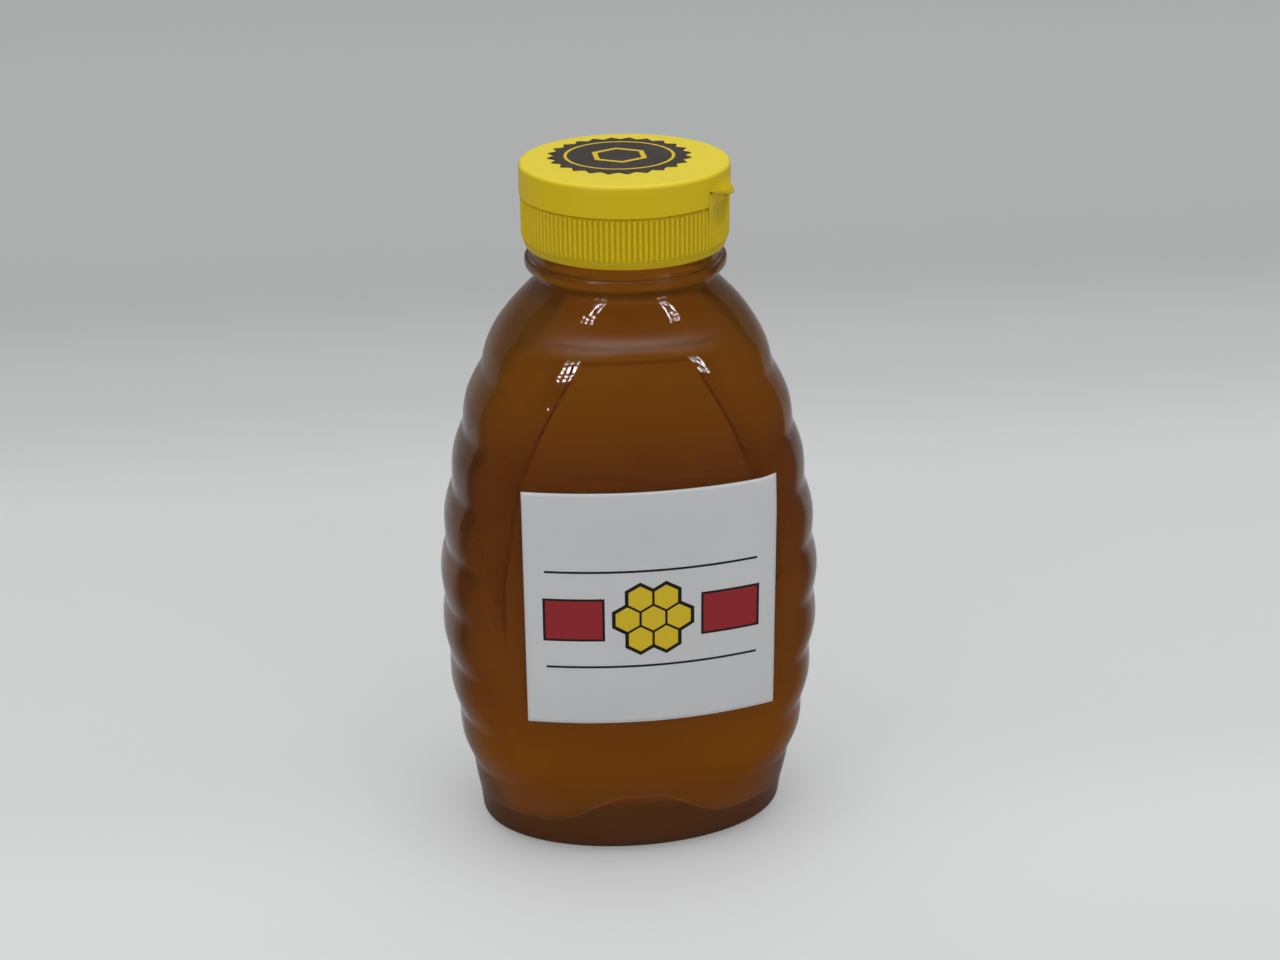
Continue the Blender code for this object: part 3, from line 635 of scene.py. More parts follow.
def thread_height(height, turns, top, length, reach):
    """How far a round-backed thread stands out at these heights and column angles.

    The thread climbs one pitch a turn, ends at the top height and fades out over the last part of each end.
    """
    out = np.zeros(np.broadcast_shapes(height.shape, turns.shape))
    for lap in range(math.ceil(length) + 1):
        along = lap + turns / (2 * math.pi)
        middle = top - (length - along) * THREAD_PITCH
        fade = smooth_step(0, THREAD_FADE_TURNS, along) * smooth_step(0, THREAD_FADE_TURNS, length - along)
        away = (height - middle) / (reach * THREAD_SPREAD)
        out = np.maximum(out, reach * fade * np.sqrt(np.maximum(0, 1 - away**2)))
    return out


def neck_rings():
    """The neck from its root over the bead and the thread to the lip, and down its bore.

    Only one row in NECK_BORE_STEP stays in the plain middle of the bore.
    """
    half_bead = BEAD_THICKNESS / 2
    corners = [
        (NECK_ROOT_RADIUS, BODY_HEIGHT, 0),
        (NECK_RADIUS, BODY_HEIGHT + 0.0007, 0.0009),
        (NECK_RADIUS, BEAD_MIDDLE - half_bead, 0.0004),
        (BEAD_RADIUS, BEAD_MIDDLE - half_bead, half_bead * BEAD_ROUNDNESS),
        (BEAD_RADIUS, BEAD_MIDDLE + half_bead, half_bead * BEAD_ROUNDNESS),
        (LEDGE_RADIUS, BEAD_MIDDLE + half_bead, 0.0004),
        (LEDGE_RADIUS, LEDGE_TOP, 0.0004),
        (NECK_RADIUS, LEDGE_TOP + 0.0003, 0.0003),
        (NECK_RADIUS, LIP_HEIGHT, 0.0004),
        (NECK_BORE_RADIUS, LIP_HEIGHT, 0.0004),
        (NECK_BORE_RADIUS, BORE_BOTTOM, 0.0008),
        (NECK_RADIUS - WALL, BORE_FLARE_TOP, 0.0008),
        (NECK_RADIUS - WALL, BORE_FLARE_BOTTOM, 0),
    ]
    line = rounded_profile(corners, NECK_SPACING)[1:]
    radius, height = line[:, :1], line[:, 1:]
    on_thread = (np.abs(radius - NECK_RADIUS) < TOUCH) & (height > LEDGE_TOP)
    thread = thread_height(height, round_turns(BODY_COLUMNS), THREAD_TOP, THREAD_TURNS, THREAD_HEIGHT)
    radius = radius + np.where(on_thread, thread, 0)
    bore = np.flatnonzero(line[:, 0] < NECK_BORE_RADIUS + TOUCH)[NECK_BORE_ENDS:-NECK_BORE_ENDS]
    keep = np.ones(len(line), bool)
    keep[bore] = np.arange(len(bore)) % NECK_BORE_STEP == 0
    return rings_of(radius, height, BODY_COLUMNS)[keep]


def make_bottle_shell(plastic, wetted_plastic):
    """One closed wall: hollow foot, heel, grooved body, neck and lip outside, then the same way back inside.

    Its inner side, at half as many rows, is the outer one moved in along its normals by the wall. Below the
    honey's top it has the finish of a wetted wall.
    """
    outer = outer_rings()
    inner = (outer - outward_normals(outer) * WALL)[::-2]
    rings = np.concatenate([outer, neck_rings(), inner])
    shell = surface_piece("bottle_shell", rings)
    shell.data.materials.append(plastic)
    lip = int(np.argmax(rings[:, 0, 2]))
    row = np.arange(len(rings) - 1)
    wetted = (row > lip) & (rings[:-1, 0, 2] < FILL_HEIGHT + TOUCH)
    fans = [np.zeros(BODY_COLUMNS, bool), np.ones(BODY_COLUMNS, bool)]
    wetted = np.concatenate([np.repeat(wetted, BODY_COLUMNS), *fans])
    shell.data.materials.append(wetted_plastic)
    shell.data.polygons.foreach_set("material_index", wetted.astype(np.int32))
    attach(shell, "bottle")
    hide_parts("bottle")


def make_honey_fill(honey):
    """The honey: a little way into the wall so that no air shows between them, and up the neck to its top.

    The top is level but for its rim, which climbs the wall by the exponential of the way to it.
    """
    outer = outer_rings()
    inside = outer - outward_normals(outer) * (WALL - HONEY_OVERLAP)
    flare = NECK_RADIUS - WALL + HONEY_OVERLAP
    bore = NECK_BORE_RADIUS + HONEY_OVERLAP
    level = FILL_HEIGHT - HONEY_RIM_HEIGHT
    share = np.array(HONEY_RIM_SHARES)
    fall = HONEY_RIM_HEIGHT * (1 - np.exp(-HONEY_RIM_STEEPNESS * share))
    line = np.array([
        (flare, BORE_FLARE_BOTTOM),
        (flare, BORE_FLARE_TOP),
        (bore, BORE_BOTTOM),
        (bore, FILL_HEIGHT - HONEY_RIM_WIDTH),
        (bore, FILL_HEIGHT),
        *zip(bore - HONEY_RIM_WIDTH * share, FILL_HEIGHT - fall),
        (bore / 2, level),
        (HONEY_RIM_WIDTH, level),
    ])
    neck = rings_of(line[:, :1], line[:, 1:], BODY_COLUMNS)
    fill = surface_piece("honey_fill", np.concatenate([inside, neck]))
    dress(fill, honey, "bottle", "honey", "honey")


# Closure


def make_seal_liner(foam):
    """A flat foam ring: a rectangle with small roundings, turned round Z."""
    low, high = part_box("seal_liner")
    hole, radius = LINER_HOLE_RADIUS, high.x
    corners = [
        ((hole + radius) / 2, low.z, 0),
        (radius, low.z, LINER_ROUNDING),
        (radius, high.z, LINER_ROUNDING),
        (hole, high.z, LINER_ROUNDING),
        (hole, low.z, LINER_ROUNDING),
        ((hole + radius) / 2, low.z, 0),
    ]
    line = rounded_profile(corners, LINER_SPACING, 3)[:-1]
    rings = rings_of(line[:, :1], line[:, 1:], LINER_COLUMNS)
    liner = surface_piece("liner_disc", rings, closed_rows=True)
    dress(liner, foam, "closure_liner", "liner_foam", "seal_liner")


def ribs(turns):
    """Rounded ribs with narrow valleys: 1 on a crest, less a power of a raised cosine, to 0 in a valley."""
    return 1 - (0.5 + 0.5 * np.cos(RIB_COUNT * turns)) ** RIB_WIDENING


def scoop_reach(height, aside):
    """How far out the thumb's hollow lies: the scoop's cylinder, level with the ribs at the near side."""
    middle = SKIRT_RADIUS + RIB_DEPTH - SCOOP_DEPTH + SCOOP_RADIUS
    rise = np.clip(height - DECK_TOP - SCOOP_DEPTH, -SCOOP_RADIUS, SCOOP_RADIUS)
    scooped = middle - np.sqrt(SCOOP_RADIUS**2 - rise**2)
    level = np.sqrt((SKIRT_RADIUS + RIB_DEPTH) ** 2 - np.clip(aside, -THUMB_WIDTH, THUMB_WIDTH) ** 2)
    sunk = smooth_step(-THUMB_WIDTH / 2, 0, aside)
    return level + np.minimum(scooped - level, 0) * sunk


def make_closure_skirt(plastic):
    """The screw closure: plain band, ribs, deck and spout outside, then its bore with the thread inside."""
    band_top = SKIRT_BOTTOM + PLAIN_BAND_HEIGHT
    corners = [
        ((SKIRT_BORE_RADIUS + SKIRT_RADIUS) / 2, SKIRT_BOTTOM, 0),
        (SKIRT_RADIUS - PLAIN_BAND_TAPER, SKIRT_BOTTOM, 0.0004),
        (SKIRT_RADIUS + PLAIN_BAND_REACH, band_top, 0.00015),
        (SKIRT_RADIUS, band_top + 0.00012, 0.0001),
        (SKIRT_RADIUS, DECK_TOP, 0.00012),
        (SPOUT_ROOT_RADIUS + 0.0004, DECK_TOP, 0.0005),
        (SPOUT_TIP_RADIUS, SPOUT_TOP, 0.0005),
        (ORIFICE_RADIUS, SPOUT_TOP, 0.0003),
        (ORIFICE_RADIUS, DECK_UNDERSIDE, 0.0002),
        (SEAT_RADIUS, DECK_UNDERSIDE, 0.0003),
        (SEAT_RADIUS, SEAT_BOTTOM, 0.0002),
        (SKIRT_BORE_RADIUS, SEAT_BOTTOM - 0.0005, 0.0002),
        (SKIRT_BORE_RADIUS, SKIRT_BOTTOM, 0.0002),
        ((SKIRT_BORE_RADIUS + SKIRT_RADIUS) / 2, SKIRT_BOTTOM, 0),
    ]
    line = rounded_profile(corners, CLOSURE_SPACING, 4)[:-1]
    line = thinned(line, line[:, 1] > DECK_UNDERSIDE - TOUCH, DECK_FLAT)
    radius, height = line[:, :1], line[:, 1:]
    turns = round_turns(CLOSURE_COLUMNS)
    on_wall = (radius > SKIRT_RADIUS - TOUCH) & (height > band_top)
    bore = (np.abs(radius - SKIRT_BORE_RADIUS) < TOUCH) & (height < SEAT_BOTTOM)
    ribbed = RIB_DEPTH * ribs(turns) * smooth_step(band_top, band_top + RIB_FOOT_FADE, height)
    ribbed = ribbed * (1 - smooth_step(DECK_TOP - RIB_HEAD_FADE, DECK_TOP, height))
    first, last = SKIRT_BOTTOM + CLOSURE_THREAD_HEIGHT, SEAT_BOTTOM - CLOSURE_THREAD_HEIGHT
    thread = thread_height(height, turns, last, (last - first) / THREAD_PITCH, CLOSURE_THREAD_HEIGHT)
    radius = radius + np.where(on_wall, ribbed, 0) - np.where(bore, thread, 0)
    radius = cut_hinge_notch(cut_scoop(radius, height), height)
    skirt = surface_piece("closure_skirt", rings_of(radius, height, CLOSURE_COLUMNS), closed_rows=True)
    dress(skirt, plastic, "closure_base", "yellow_plastic", "closure_base")


def cut_scoop(radius, height):
    """The skirt's outer side, hollowed by the scoop's cylinder across the thumb's width, and slit."""
    away = turns_from(THUMB_TURN)
    aside = radius * np.sin(away)
    outside = (np.cos(away) > 0) & (radius > SKIRT_BORE_RADIUS)
    inside = (np.abs(aside) < THUMB_WIDTH / 2) & outside
    scooped = scoop_reach(height, aside) / np.where(inside, np.cos(away), 1)
    least = SKIRT_BORE_RADIUS + SCOOP_LEAST_WALL
    radius = np.where(inside, np.minimum(radius, np.maximum(scooped, least)), radius)
    below = np.clip((DECK_TOP - height) / THUMB_SLIT_DEPTH, 0, 1)
    slit_width = THUMB_SLIT_WIDTH * (1 - THUMB_SLIT_TAPER_SHARE * below)
    slit_side = -THUMB_WIDTH / 2 - THUMB_SLIT_SHIFT
    in_slit = outside & (aside > slit_side) & (aside < slit_side + slit_width)
    return np.where(in_slit & (below < 1), np.minimum(radius, least), radius)


def cut_hinge_notch(radius, height):
    """Room for the strap in the outer side of the skirt or the lid."""
    near = np.abs(height - HINGE_AXIS_HEIGHT) < HINGE_HEIGHT / 2 + HINGE_GAP
    inside = near & (np.abs(turns_from(HINGE_TURN)) < (HINGE_WIDTH / 2 + HINGE_GAP) / LID_RADIUS)
    floor = LID_RADIUS - HINGE_THICKNESS - HINGE_GAP
    return np.where(inside & (radius > floor), floor, radius)


def make_thumb_tongue(plastic):
    """The tongue that stands in the lid's notch: a rounded slab whose outer face carries the scoop on.

    Each ring is a squared ellipse between the tongue's two sides, its inner face and the scoop.
    """
    rise = np.concatenate([np.linspace(0, TONGUE_SIDE_SHARE, TONGUE_ROWS), TONGUE_TOP_SHARES])
    drawn_in = np.concatenate([np.zeros(TONGUE_ROWS), TONGUE_TOP_INSETS])[:, None]
    height = (TONGUE_BOTTOM + (TONGUE_TOP - TONGUE_BOTTOM) * rise)[:, None]
    near_side = THUMB_SLIT_WIDTH - THUMB_SLIT_SHIFT - THUMB_WIDTH / 2 + drawn_in
    far_side = THUMB_WIDTH / 2 - TONGUE_FAR_GAP - drawn_in
    turns = round_turns(TONGUE_COLUMNS)
    along = signed_power(np.sin(turns), TONGUE_CORNER_POWER)
    v = (far_side + near_side) / 2 + (far_side - near_side) / 2 * along
    inner, outer = TONGUE_INNER + drawn_in, scoop_reach(height, v) - drawn_in
    across = signed_power(np.cos(turns), TONGUE_CORNER_POWER)
    u = (outer + inner) / 2 + (outer - inner) / 2 * across
    x = u * math.cos(THUMB_TURN) - v * math.sin(THUMB_TURN)
    y = u * math.sin(THUMB_TURN) + v * math.cos(THUMB_TURN)
    tongue = surface_piece("thumb_tongue", points_at(x, y, height))
    dress(tongue, plastic, "closure_base", "yellow_plastic")


# Lid


def make_lid_cap(plastic):
    """The flip lid: plug, underside and inner wall, then the rim, the outer wall and the top.

    Its profile is turned round Z. The outer wall then flares into the thumb lip and lifts over the notch.
    """
    corners = [
        (0.0004, PLUG_BOTTOM, 0),
        (PLUG_RADIUS, PLUG_BOTTOM, 0.0004),
        (PLUG_RADIUS, LID_UNDERSIDE, 0.0003),
        (LID_BORE_RADIUS, LID_UNDERSIDE, 0.0005),
        (LID_BORE_RADIUS, LID_BOTTOM, 0.00015),
        (LID_RADIUS, LID_BOTTOM, 0.00015),
        (LID_RADIUS, LID_TOP, LID_EDGE_RADIUS),
        (0.0006, LID_TOP, 0),
    ]
    line = rounded_profile(corners, LID_SPACING, 7)
    flat = (np.abs(line[:, 1] - LID_UNDERSIDE) < TOUCH) | (np.abs(line[:, 1] - LID_TOP) < TOUCH)
    line = thinned(line, flat, LID_FLAT)
    radius, height = line[:, :1], line[:, 1:]
    rim = int(np.argmin(line[:, 1] + (line[:, 0] < LID_BORE_RADIUS - TOUCH)))
    outer = (np.arange(len(line)) > rim)[:, None] & (radius > LID_BORE_RADIUS)
    away = turns_from(THUMB_TURN)
    radius = cut_hinge_notch(radius + np.where(outer, thumb_lip(radius, height, away), 0), height)
    height = lift_over_notch(radius, height, away)
    lid = surface_piece("lid_cap", rings_of(radius, height, CLOSURE_COLUMNS))
    dress(lid, plastic, "closure_lid", "yellow_plastic", "closure_lid")


def thumb_lip(radius, height, away):
    """How far the wall flares out over the hollow: from nothing at the near side, most at its lower edge."""
    ahead, aside = radius * np.cos(away), radius * np.sin(away)
    across = smooth_step(-THUMB_WIDTH / 2, THUMB_WIDTH / 6, aside)
    across = across * (1 - smooth_step(THUMB_LIP_FADE_START, THUMB_LIP_FADE_END, aside))
    down = 1 - smooth_step(LID_BOTTOM, LID_BOTTOM + THUMB_LIP_HEIGHT, height)
    from_edge = np.clip((height - LID_BOTTOM) / THUMB_LIP_ROUNDING, 0, 1)
    rounded = np.sqrt(1 - THUMB_LIP_EDGE_SHARE * (1 - from_edge) ** 2)
    reach = (LID_RADIUS + THUMB_LIP_REACH - ahead) * across * down**THUMB_LIP_FLARE * rounded
    return np.where(np.cos(away) > 0, np.maximum(reach, 0), 0)


def lift_over_notch(radius, height, away):
    """The lid's wall drawn up evenly below its underside, to leave a notch that falls to its far side."""
    aside = LID_RADIUS * np.sin(away)
    beside = smooth_step(THUMB_WIDTH / 2, THUMB_WIDTH / 2 + THUMB_NOTCH_SIDE, np.abs(aside))
    notched = (1 - beside) * (np.cos(away) > 0)
    near = np.clip(0.5 - aside / THUMB_WIDTH, 0, 1)
    rise = THUMB_NOTCH_FAR_HEIGHT + (THUMB_NOTCH_HEIGHT - THUMB_NOTCH_FAR_HEIGHT) * near
    lifted = LID_BOTTOM + rise * notched
    share = (LID_UNDERSIDE - lifted) / (LID_UNDERSIDE - LID_BOTTOM)
    on_wall = (radius > LID_BORE_RADIUS - LID_WALL_FOOT) & (height < LID_UNDERSIDE)
    return np.where(on_wall, LID_UNDERSIDE - (LID_UNDERSIDE - height) * share, height)


def make_hinge_strap(plastic):
    """The strap at the back: a thin section, thinnest at the fold by a bell curve, carried along the rim."""
    up = np.linspace(-HINGE_HEIGHT / 2, HINGE_HEIGHT / 2, STRAP_SIDE)
    fold = HINGE_THICKNESS / 2 * np.exp(-((up / HINGE_FOLD) ** 2))
    out = np.concatenate([LID_RADIUS - fold, np.full(STRAP_SIDE, LID_RADIUS - HINGE_THICKNESS)])
    height = HINGE_AXIS_HEIGHT + np.concatenate([up, up[::-1]])
    turns = HINGE_TURN + np.linspace(HINGE_WIDTH / 2, -HINGE_WIDTH / 2, STRAP_ROWS)[:, None] / LID_RADIUS
    strap = surface_piece("lid_strap", points_at(out * np.cos(turns), out * np.sin(turns), height))
    strap.data.materials.append(plastic)
    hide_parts("hinge_strap")
    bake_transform(strap)


# Label and sticker


def panel_front(x, height):
    """How far the front of the body stands out at this place, without the grooves."""
    width, depth, panel, exponent = body_section(height)
    oval_front = depth * np.clip(1 - np.abs(x / width) ** exponent, 0, 1) ** (1 / exponent)
    return lesser(oval_front, panel - x**2 / (2 * PANEL_RADIUS), PANEL_EDGE)


def make_label_sheet(paper):
    """A thin closed sheet on the front panel: a grid for its face, another for its back, and a rim."""
    x = LABEL_SHIFT + np.linspace(-LABEL_WIDTH / 2, LABEL_WIDTH / 2, LABEL_GRID)
    z = LABEL_MIDDLE_HEIGHT + np.linspace(-LABEL_HEIGHT / 2, LABEL_HEIGHT / 2, LABEL_GRID)[:, None]
    back = -panel_front(x, z) - LABEL_LIFT
    face = points_at(x, back - LABEL_THICKNESS, z)
    index = numbered(face)
    edge = np.concatenate([index[0], index[1:, -1], index[-1, -2::-1], index[-2:0:-1, 0]])
    beside = np.roll(edge, -1)
    rim = np.stack([edge, edge + index.size, beside + index.size, beside], axis=-1)
    quads = grid_quads(index)
    quads = np.concatenate([quads, quads[:, ::-1] + index.size, rim])
    points = np.concatenate([face.reshape(-1, 3), points_at(x, back, z).reshape(-1, 3)])
    dress(mesh_piece("label_sheet", points, quads), paper, "bottle", "label_paper", "front_label")


def star_outline(radius, inner, points):
    """A star in small steps: its corners lie at the outer and the inner radius by turns."""
    turns = np.arange(2 * points) * math.pi / points
    reach = np.where(np.arange(2 * points) % 2 == 0, radius, inner)
    line = np.stack([reach * np.cos(turns), reach * np.sin(turns)], axis=-1)
    return stepped(np.concatenate([line, line[:1]]), STICKER_SPACING)[:-1]


def make_sticker_disc(film):
    """A flat toothed disc on the lid's top: its outline drawn in to smaller rings, on both faces."""
    outline = star_outline(STICKER_RADIUS, STICKER_RADIUS - STICKER_POINT_HEIGHT, STICKER_POINTS)
    flat = outline * np.array(STICKER_RINGS)[:, None, None] + np.array(STICKER_SHIFT)
    x, y = flat[..., 0], flat[..., 1]
    low = LID_TOP + STICKER_LIFT
    back, front = points_at(x, y, low), points_at(x, y, low + STICKER_THICKNESS)
    disc = surface_piece("sticker_disc", np.concatenate([back, front[::-1]]))
    dress(disc, film, "closure_lid", "sticker_film", "lid_sticker")


# Materials


def new_material(name, color, roughness, **sockets):
    """A Principled material. The other sockets are named with underscores for spaces."""
    material = bpy.data.materials.new(name)
    material.use_nodes = True
    inputs = shader_of(material).inputs
    inputs["Base Color"].default_value = (*color, 1)
    inputs["Roughness"].default_value = roughness
    for socket, value in sockets.items():
        inputs[socket.replace("_", " ")].default_value = value
    return material


def shader_of(material):
    """The material's Principled shader."""
    return material.node_tree.nodes["Principled BSDF"]


def add_node(material, kind, **sockets):
    """A node in a material or a world, with these sockets set."""
    node = material.node_tree.nodes.new(kind)
    for socket, value in sockets.items():
        node.inputs[socket.replace("_", " ")].default_value = value
    return node


def feed(material, value, socket):
    """Gives a socket its value: a number, another node's output, or a node, whose first output it takes."""
    if isinstance(value, (int, float)):
        socket.default_value = value
    else:
        output = value.outputs[0] if isinstance(value, bpy.types.Node) else value
        material.node_tree.links.new(output, socket)


def feed_shader(material, value, socket):
    """Gives one of the Principled shader's sockets its value."""
    feed(material, value, shader_of(material).inputs[socket])


def calculate(material, operation, *values):
    """A Math node of these values."""
    node = add_node(material, "ShaderNodeMath")
    node.operation = operation
    for socket, value in zip(node.inputs, values):
        feed(material, value, socket)
    return node


def distance(material, value, middle):
    """How far a value lies from a middle, to either side."""
    return calculate(material, "ABSOLUTE", calculate(material, "SUBTRACT", value, middle))


def length(material, x, y):
    """The root of the sum of two squares."""
    squares = calculate(material, "MULTIPLY_ADD", x, x, calculate(material, "MULTIPLY", y, y))
    return calculate(material, "SQRT", squares)


def carry(material, value, start, end, low=0.0, high=1.0):
    """Low where the value is at the start, high where it is at the end, even between and held beyond."""
    node = add_node(material, "ShaderNodeMapRange", From_Min=start, From_Max=end)
    for source, socket in ((value, "Value"), (low, "To Min"), (high, "To Max")):
        feed(material, source, node.inputs[socket])
    return node


def soft_step(material, value, start, end):
    """1 below the start, 0 above the end and smooth between."""
    step = carry(material, value, start, end, 1.0, 0.0)
    step.interpolation_type = "SMOOTHSTEP"
    return step


def object_axes(material):
    """X, Y and Z of a place, in Object coordinates."""
    place = add_node(material, "ShaderNodeTexCoord")
    parts = add_node(material, "ShaderNodeSeparateXYZ")
    feed(material, place.outputs["Object"], parts.inputs["Vector"])
    return parts.outputs["X"], parts.outputs["Y"], parts.outputs["Z"]


def soft_noise(material, scale, detail=3.0):
    """A soft noise on Object coordinates."""
    place = add_node(material, "ShaderNodeTexCoord")
    noise = add_node(material, "ShaderNodeTexNoise", Scale=scale, Detail=detail)
    feed(material, place.outputs["Object"], noise.inputs["Vector"])
    return noise.outputs["Fac"]


def color_ramp(material, share, stops, interpolation):
    """A colour that runs through those of the stops, each given with its place from 0 to 1."""
    ramp = add_node(material, "ShaderNodeValToRGB")
    ramp.color_ramp.interpolation = interpolation
    elements = ramp.color_ramp.elements
    while len(elements) < len(stops):
        elements.new(0.5)
    for element, (place, color) in zip(elements, stops):
        element.position = place
        element.color = (*color, 1)
    feed(material, share, ramp.inputs["Fac"])
    return ramp.outputs["Color"]


def tint(material, share, under, color):
    """The under colour where the share is 0, and this colour where it is 1."""
    mix = add_node(material, "ShaderNodeMix")
    mix.data_type = "RGBA"
    feed(material, share, mix.inputs[0])
    feed(material, under, mix.inputs[6])
    mix.inputs[7].default_value = (*color, 1)
    return mix.outputs[2]


def mottle(material, scale, dark, light):
    """A colour that varies between two tones with a soft noise."""
    return color_ramp(material, soft_noise(material, scale, 4.0), ((0.35, dark), (0.65, light)), "LINEAR")


def roughen(material, scale, low, high):
    """Varies the roughness between two values with a soft noise."""
    feed_shader(material, carry(material, soft_noise(material, scale), 0.3, 0.7, low, high), "Roughness")


def emboss(material, scale, strength, depth):
    """A fine bump from a soft noise."""
    bump = add_node(material, "ShaderNodeBump", Strength=strength, Distance=depth)
    feed(material, soft_noise(material, scale), bump.inputs["Height"])
    feed_shader(material, bump, "Normal")


def clear_plastic_material():
    """Blow-moulded PET: clear and glossy, with the faint waves of a stretched wall."""
    material = new_material("clear_bottle_plastic", (0.98, 0.98, 0.97), roughness=0.02,
                            Transmission_Weight=1.0, IOR=1.54)
    emboss(material, scale=90.0, strength=0.12, depth=0.0004)
    return material


def wetted_plastic_material():
    """The wall's inner side against honey: the two bend light so alike that no face shows between them."""
    return new_material("wetted_bottle_plastic", (1.0, 1.0, 1.0), roughness=0.0,
                        Transmission_Weight=1.0, IOR=1.0)


def honey_material():
    """Dark amber honey that scatters light and browns it, with painted light and shade by height, along the
    creases and round the foot.
    """
    material = new_material("amber_honey", (0.46, 0.15, 0.012), roughness=0.0,
                            Transmission_Weight=0.58, IOR=1.0)
    x, _, z = object_axes(material)
    aside = calculate(material, "ABSOLUTE", calculate(material, "ADD", x, PANEL_SHIFT))
    # Painted light and shade: the honey lighter or darker by height
    climb = carry(material, z, 0.0, HONEY_PAINTED_SHADES_HEIGHT)
    color = color_ramp(material, climb, HONEY_PAINTED_SHADES, "EASE")
    # Painted shade along the creases of the wall
    color = tint(material, crease_shade(material, aside, z, climb), color, CREASE_PAINTED_SHADE)
    # Painted shade below the hollow foot's line and a painted highlight along it
    dark, bright = foot_shade(material, aside, z)
    color = tint(material, bright, tint(material, dark, color, FOOT_PAINTED_SHADE), FOOT_PAINTED_HIGHLIGHT)
    feed_shader(material, color, "Base Color")
    absorption = add_node(material, "ShaderNodeVolumeAbsorption", Color=HONEY_TINT, Density=HONEY_DENSITY)
    feed(material, absorption, material.node_tree.nodes["Material Output"].inputs["Volume"])
    return material


def crease_shade(material, aside, z, climb):
    """How much painted shade darkens the honey along the creases of the wall: round the panels and under the
    cove.

    A soft line of painted shade follows the panel's edge with a broad painted shadow outside it, and two
    level lines lie above.
    """
    stops = [(place, (share,) * 3) for place, share in PANEL_EDGES]
    edge = color_ramp(material, climb, stops, "LINEAR")
    outside = calculate(material, "SUBTRACT", aside, calculate(material, "MULTIPLY", edge, PANEL_EDGE_SCALE))
    line = soft_step(material, calculate(material, "ABSOLUTE", outside), CREASE_CORE, CREASE_EDGE)
    shadow = calculate(material, "SUBTRACT", soft_step(material, outside, 0.0, CREASE_SHADOW_END),
                       soft_step(material, outside, CREASE_SHADOW_START, CREASE_CORE))
    shadow = calculate(material, "MULTIPLY", calculate(material, "MAXIMUM", shadow, 0.0), CREASE_SHADOW_SHARE)
    below_top = soft_step(material, z, PANEL_TOP, PANEL_TOP + PANEL_TOP_FADE)
    upright = calculate(material, "MULTIPLY", calculate(material, "MAXIMUM", line, shadow), below_top)
    hidden = soft_step(material, z, *CREASE_FADE)
    upright = calculate(material, "MULTIPLY", upright, calculate(material, "SUBTRACT", 1.0, hidden))
    top = level_crease(material, aside, z, PANEL_TOP, PANEL_TOP_HALF_WIDTH)
    rim = level_crease(material, aside, z, COVE_RIM, COVE_RIM_HALF_WIDTH)
    level = calculate(material, "MULTIPLY", calculate(material, "MAXIMUM", top, rim), CREASE_LEVEL_SHARE)
    return calculate(material, "MULTIPLY", calculate(material, "MAXIMUM", upright, level), CREASE_SHARE)


def level_crease(material, aside, z, height, half_width):
    """A fine level line at this height, which ends softly at both sides."""
    line = soft_step(material, distance(material, z, height), CREASE_CORE, CREASE_LEVEL_EDGE)
    ends = soft_step(material, aside, *(half_width * share for share in CREASE_LEVEL_ENDS))
    return calculate(material, "MULTIPLY", line, ends)


def foot_shade(material, aside, z):
    """The hollow foot seen through the honey: how much painted shade below its line, and how much painted
    highlight along it.
    """
    hump = soft_step(material, aside, FOOT_HUMP_FLAT, FOOT_HUMP_HALF_WIDTH)
    line = calculate(material, "MULTIPLY_ADD", hump, FOOT_HUMP, FOOT_LINE)
    above = calculate(material, "SUBTRACT", z, line)
    dark = soft_step(material, above, *FOOT_PAINTED_SHADE_EDGE)
    bright = soft_step(material, calculate(material, "ABSOLUTE", above), *FOOT_PAINTED_HIGHLIGHT_EDGE)
    return (calculate(material, "MULTIPLY", dark, FOOT_PAINTED_SHADE_SHARE),
            calculate(material, "MULTIPLY", bright, FOOT_PAINTED_HIGHLIGHT_SHARE))


def yellow_plastic_material():
    """Satin polypropylene with faint flow marks, painted shade between the ribs and a painted sheen on the
    lid's top.
    """
    material = new_material("yellow_closure_plastic", (0.72, 0.505, 0.002), roughness=0.4,
                            IOR=1.49, Specular_IOR_Level=0.2)
    roughen(material, scale=220.0, low=0.36, high=0.48)
    emboss(material, scale=2400.0, strength=0.02, depth=0.00005)
    x, y, z = object_axes(material)
    reach = length(material, x, y)
    # Painted shade in the valleys between the ribs, below the deck
    valleys = soft_step(material, reach, SKIRT_RADIUS, SKIRT_RADIUS + RIB_DEPTH)
    inside = soft_step(material, reach, *VALLEY_INNER_EDGE)
    below_deck = soft_step(material, z, *VALLEY_TOP_EDGE)
    valleys = calculate(material, "MULTIPLY", calculate(material, "SUBTRACT", valleys, inside), below_deck)
    color = mottle(material, scale=60.0, dark=(0.70, 0.50, 0.001), light=(0.73, 0.52, 0.003))
    color = tint(material, valleys, color, VALLEY_PAINTED_SHADE)
    # Painted sheen: the lid's top paler and whiter
    color = tint(material, carry(material, z, *TOP_PAINTED_SHEEN_EDGE), color, TOP_PAINTED_SHEEN)
    feed_shader(material, color, "Base Color")
    return material


def hexagon(material, x, z, middle_x=0.0, middle_z=0.0):
    """Half the width of the upright hexagon round this middle on which a place lies."""
    x, z = distance(material, x, middle_x), distance(material, z, middle_z)
    sloped = calculate(material, "MULTIPLY_ADD", z, math.sqrt(3) / 2, calculate(material, "MULTIPLY", x, 0.5))
    return calculate(material, "MAXIMUM", x, sloped)


def bar(material, x, z, middle, half_size):
    """How far outside a level bar a place lies: negative inside it."""
    beyond = [calculate(material, "SUBTRACT", distance(material, place, centre), half)
              for place, centre, half in zip((x, z), middle, half_size)]
    return calculate(material, "MAXIMUM", *beyond)


def print_ink(material, under, ink, outside, edge=0.0):
    """Lays an ink over a colour wherever the outside value is less than the edge, with a crisp line."""
    return tint(material, calculate(material, "LESS_THAN", outside, edge), under, ink)


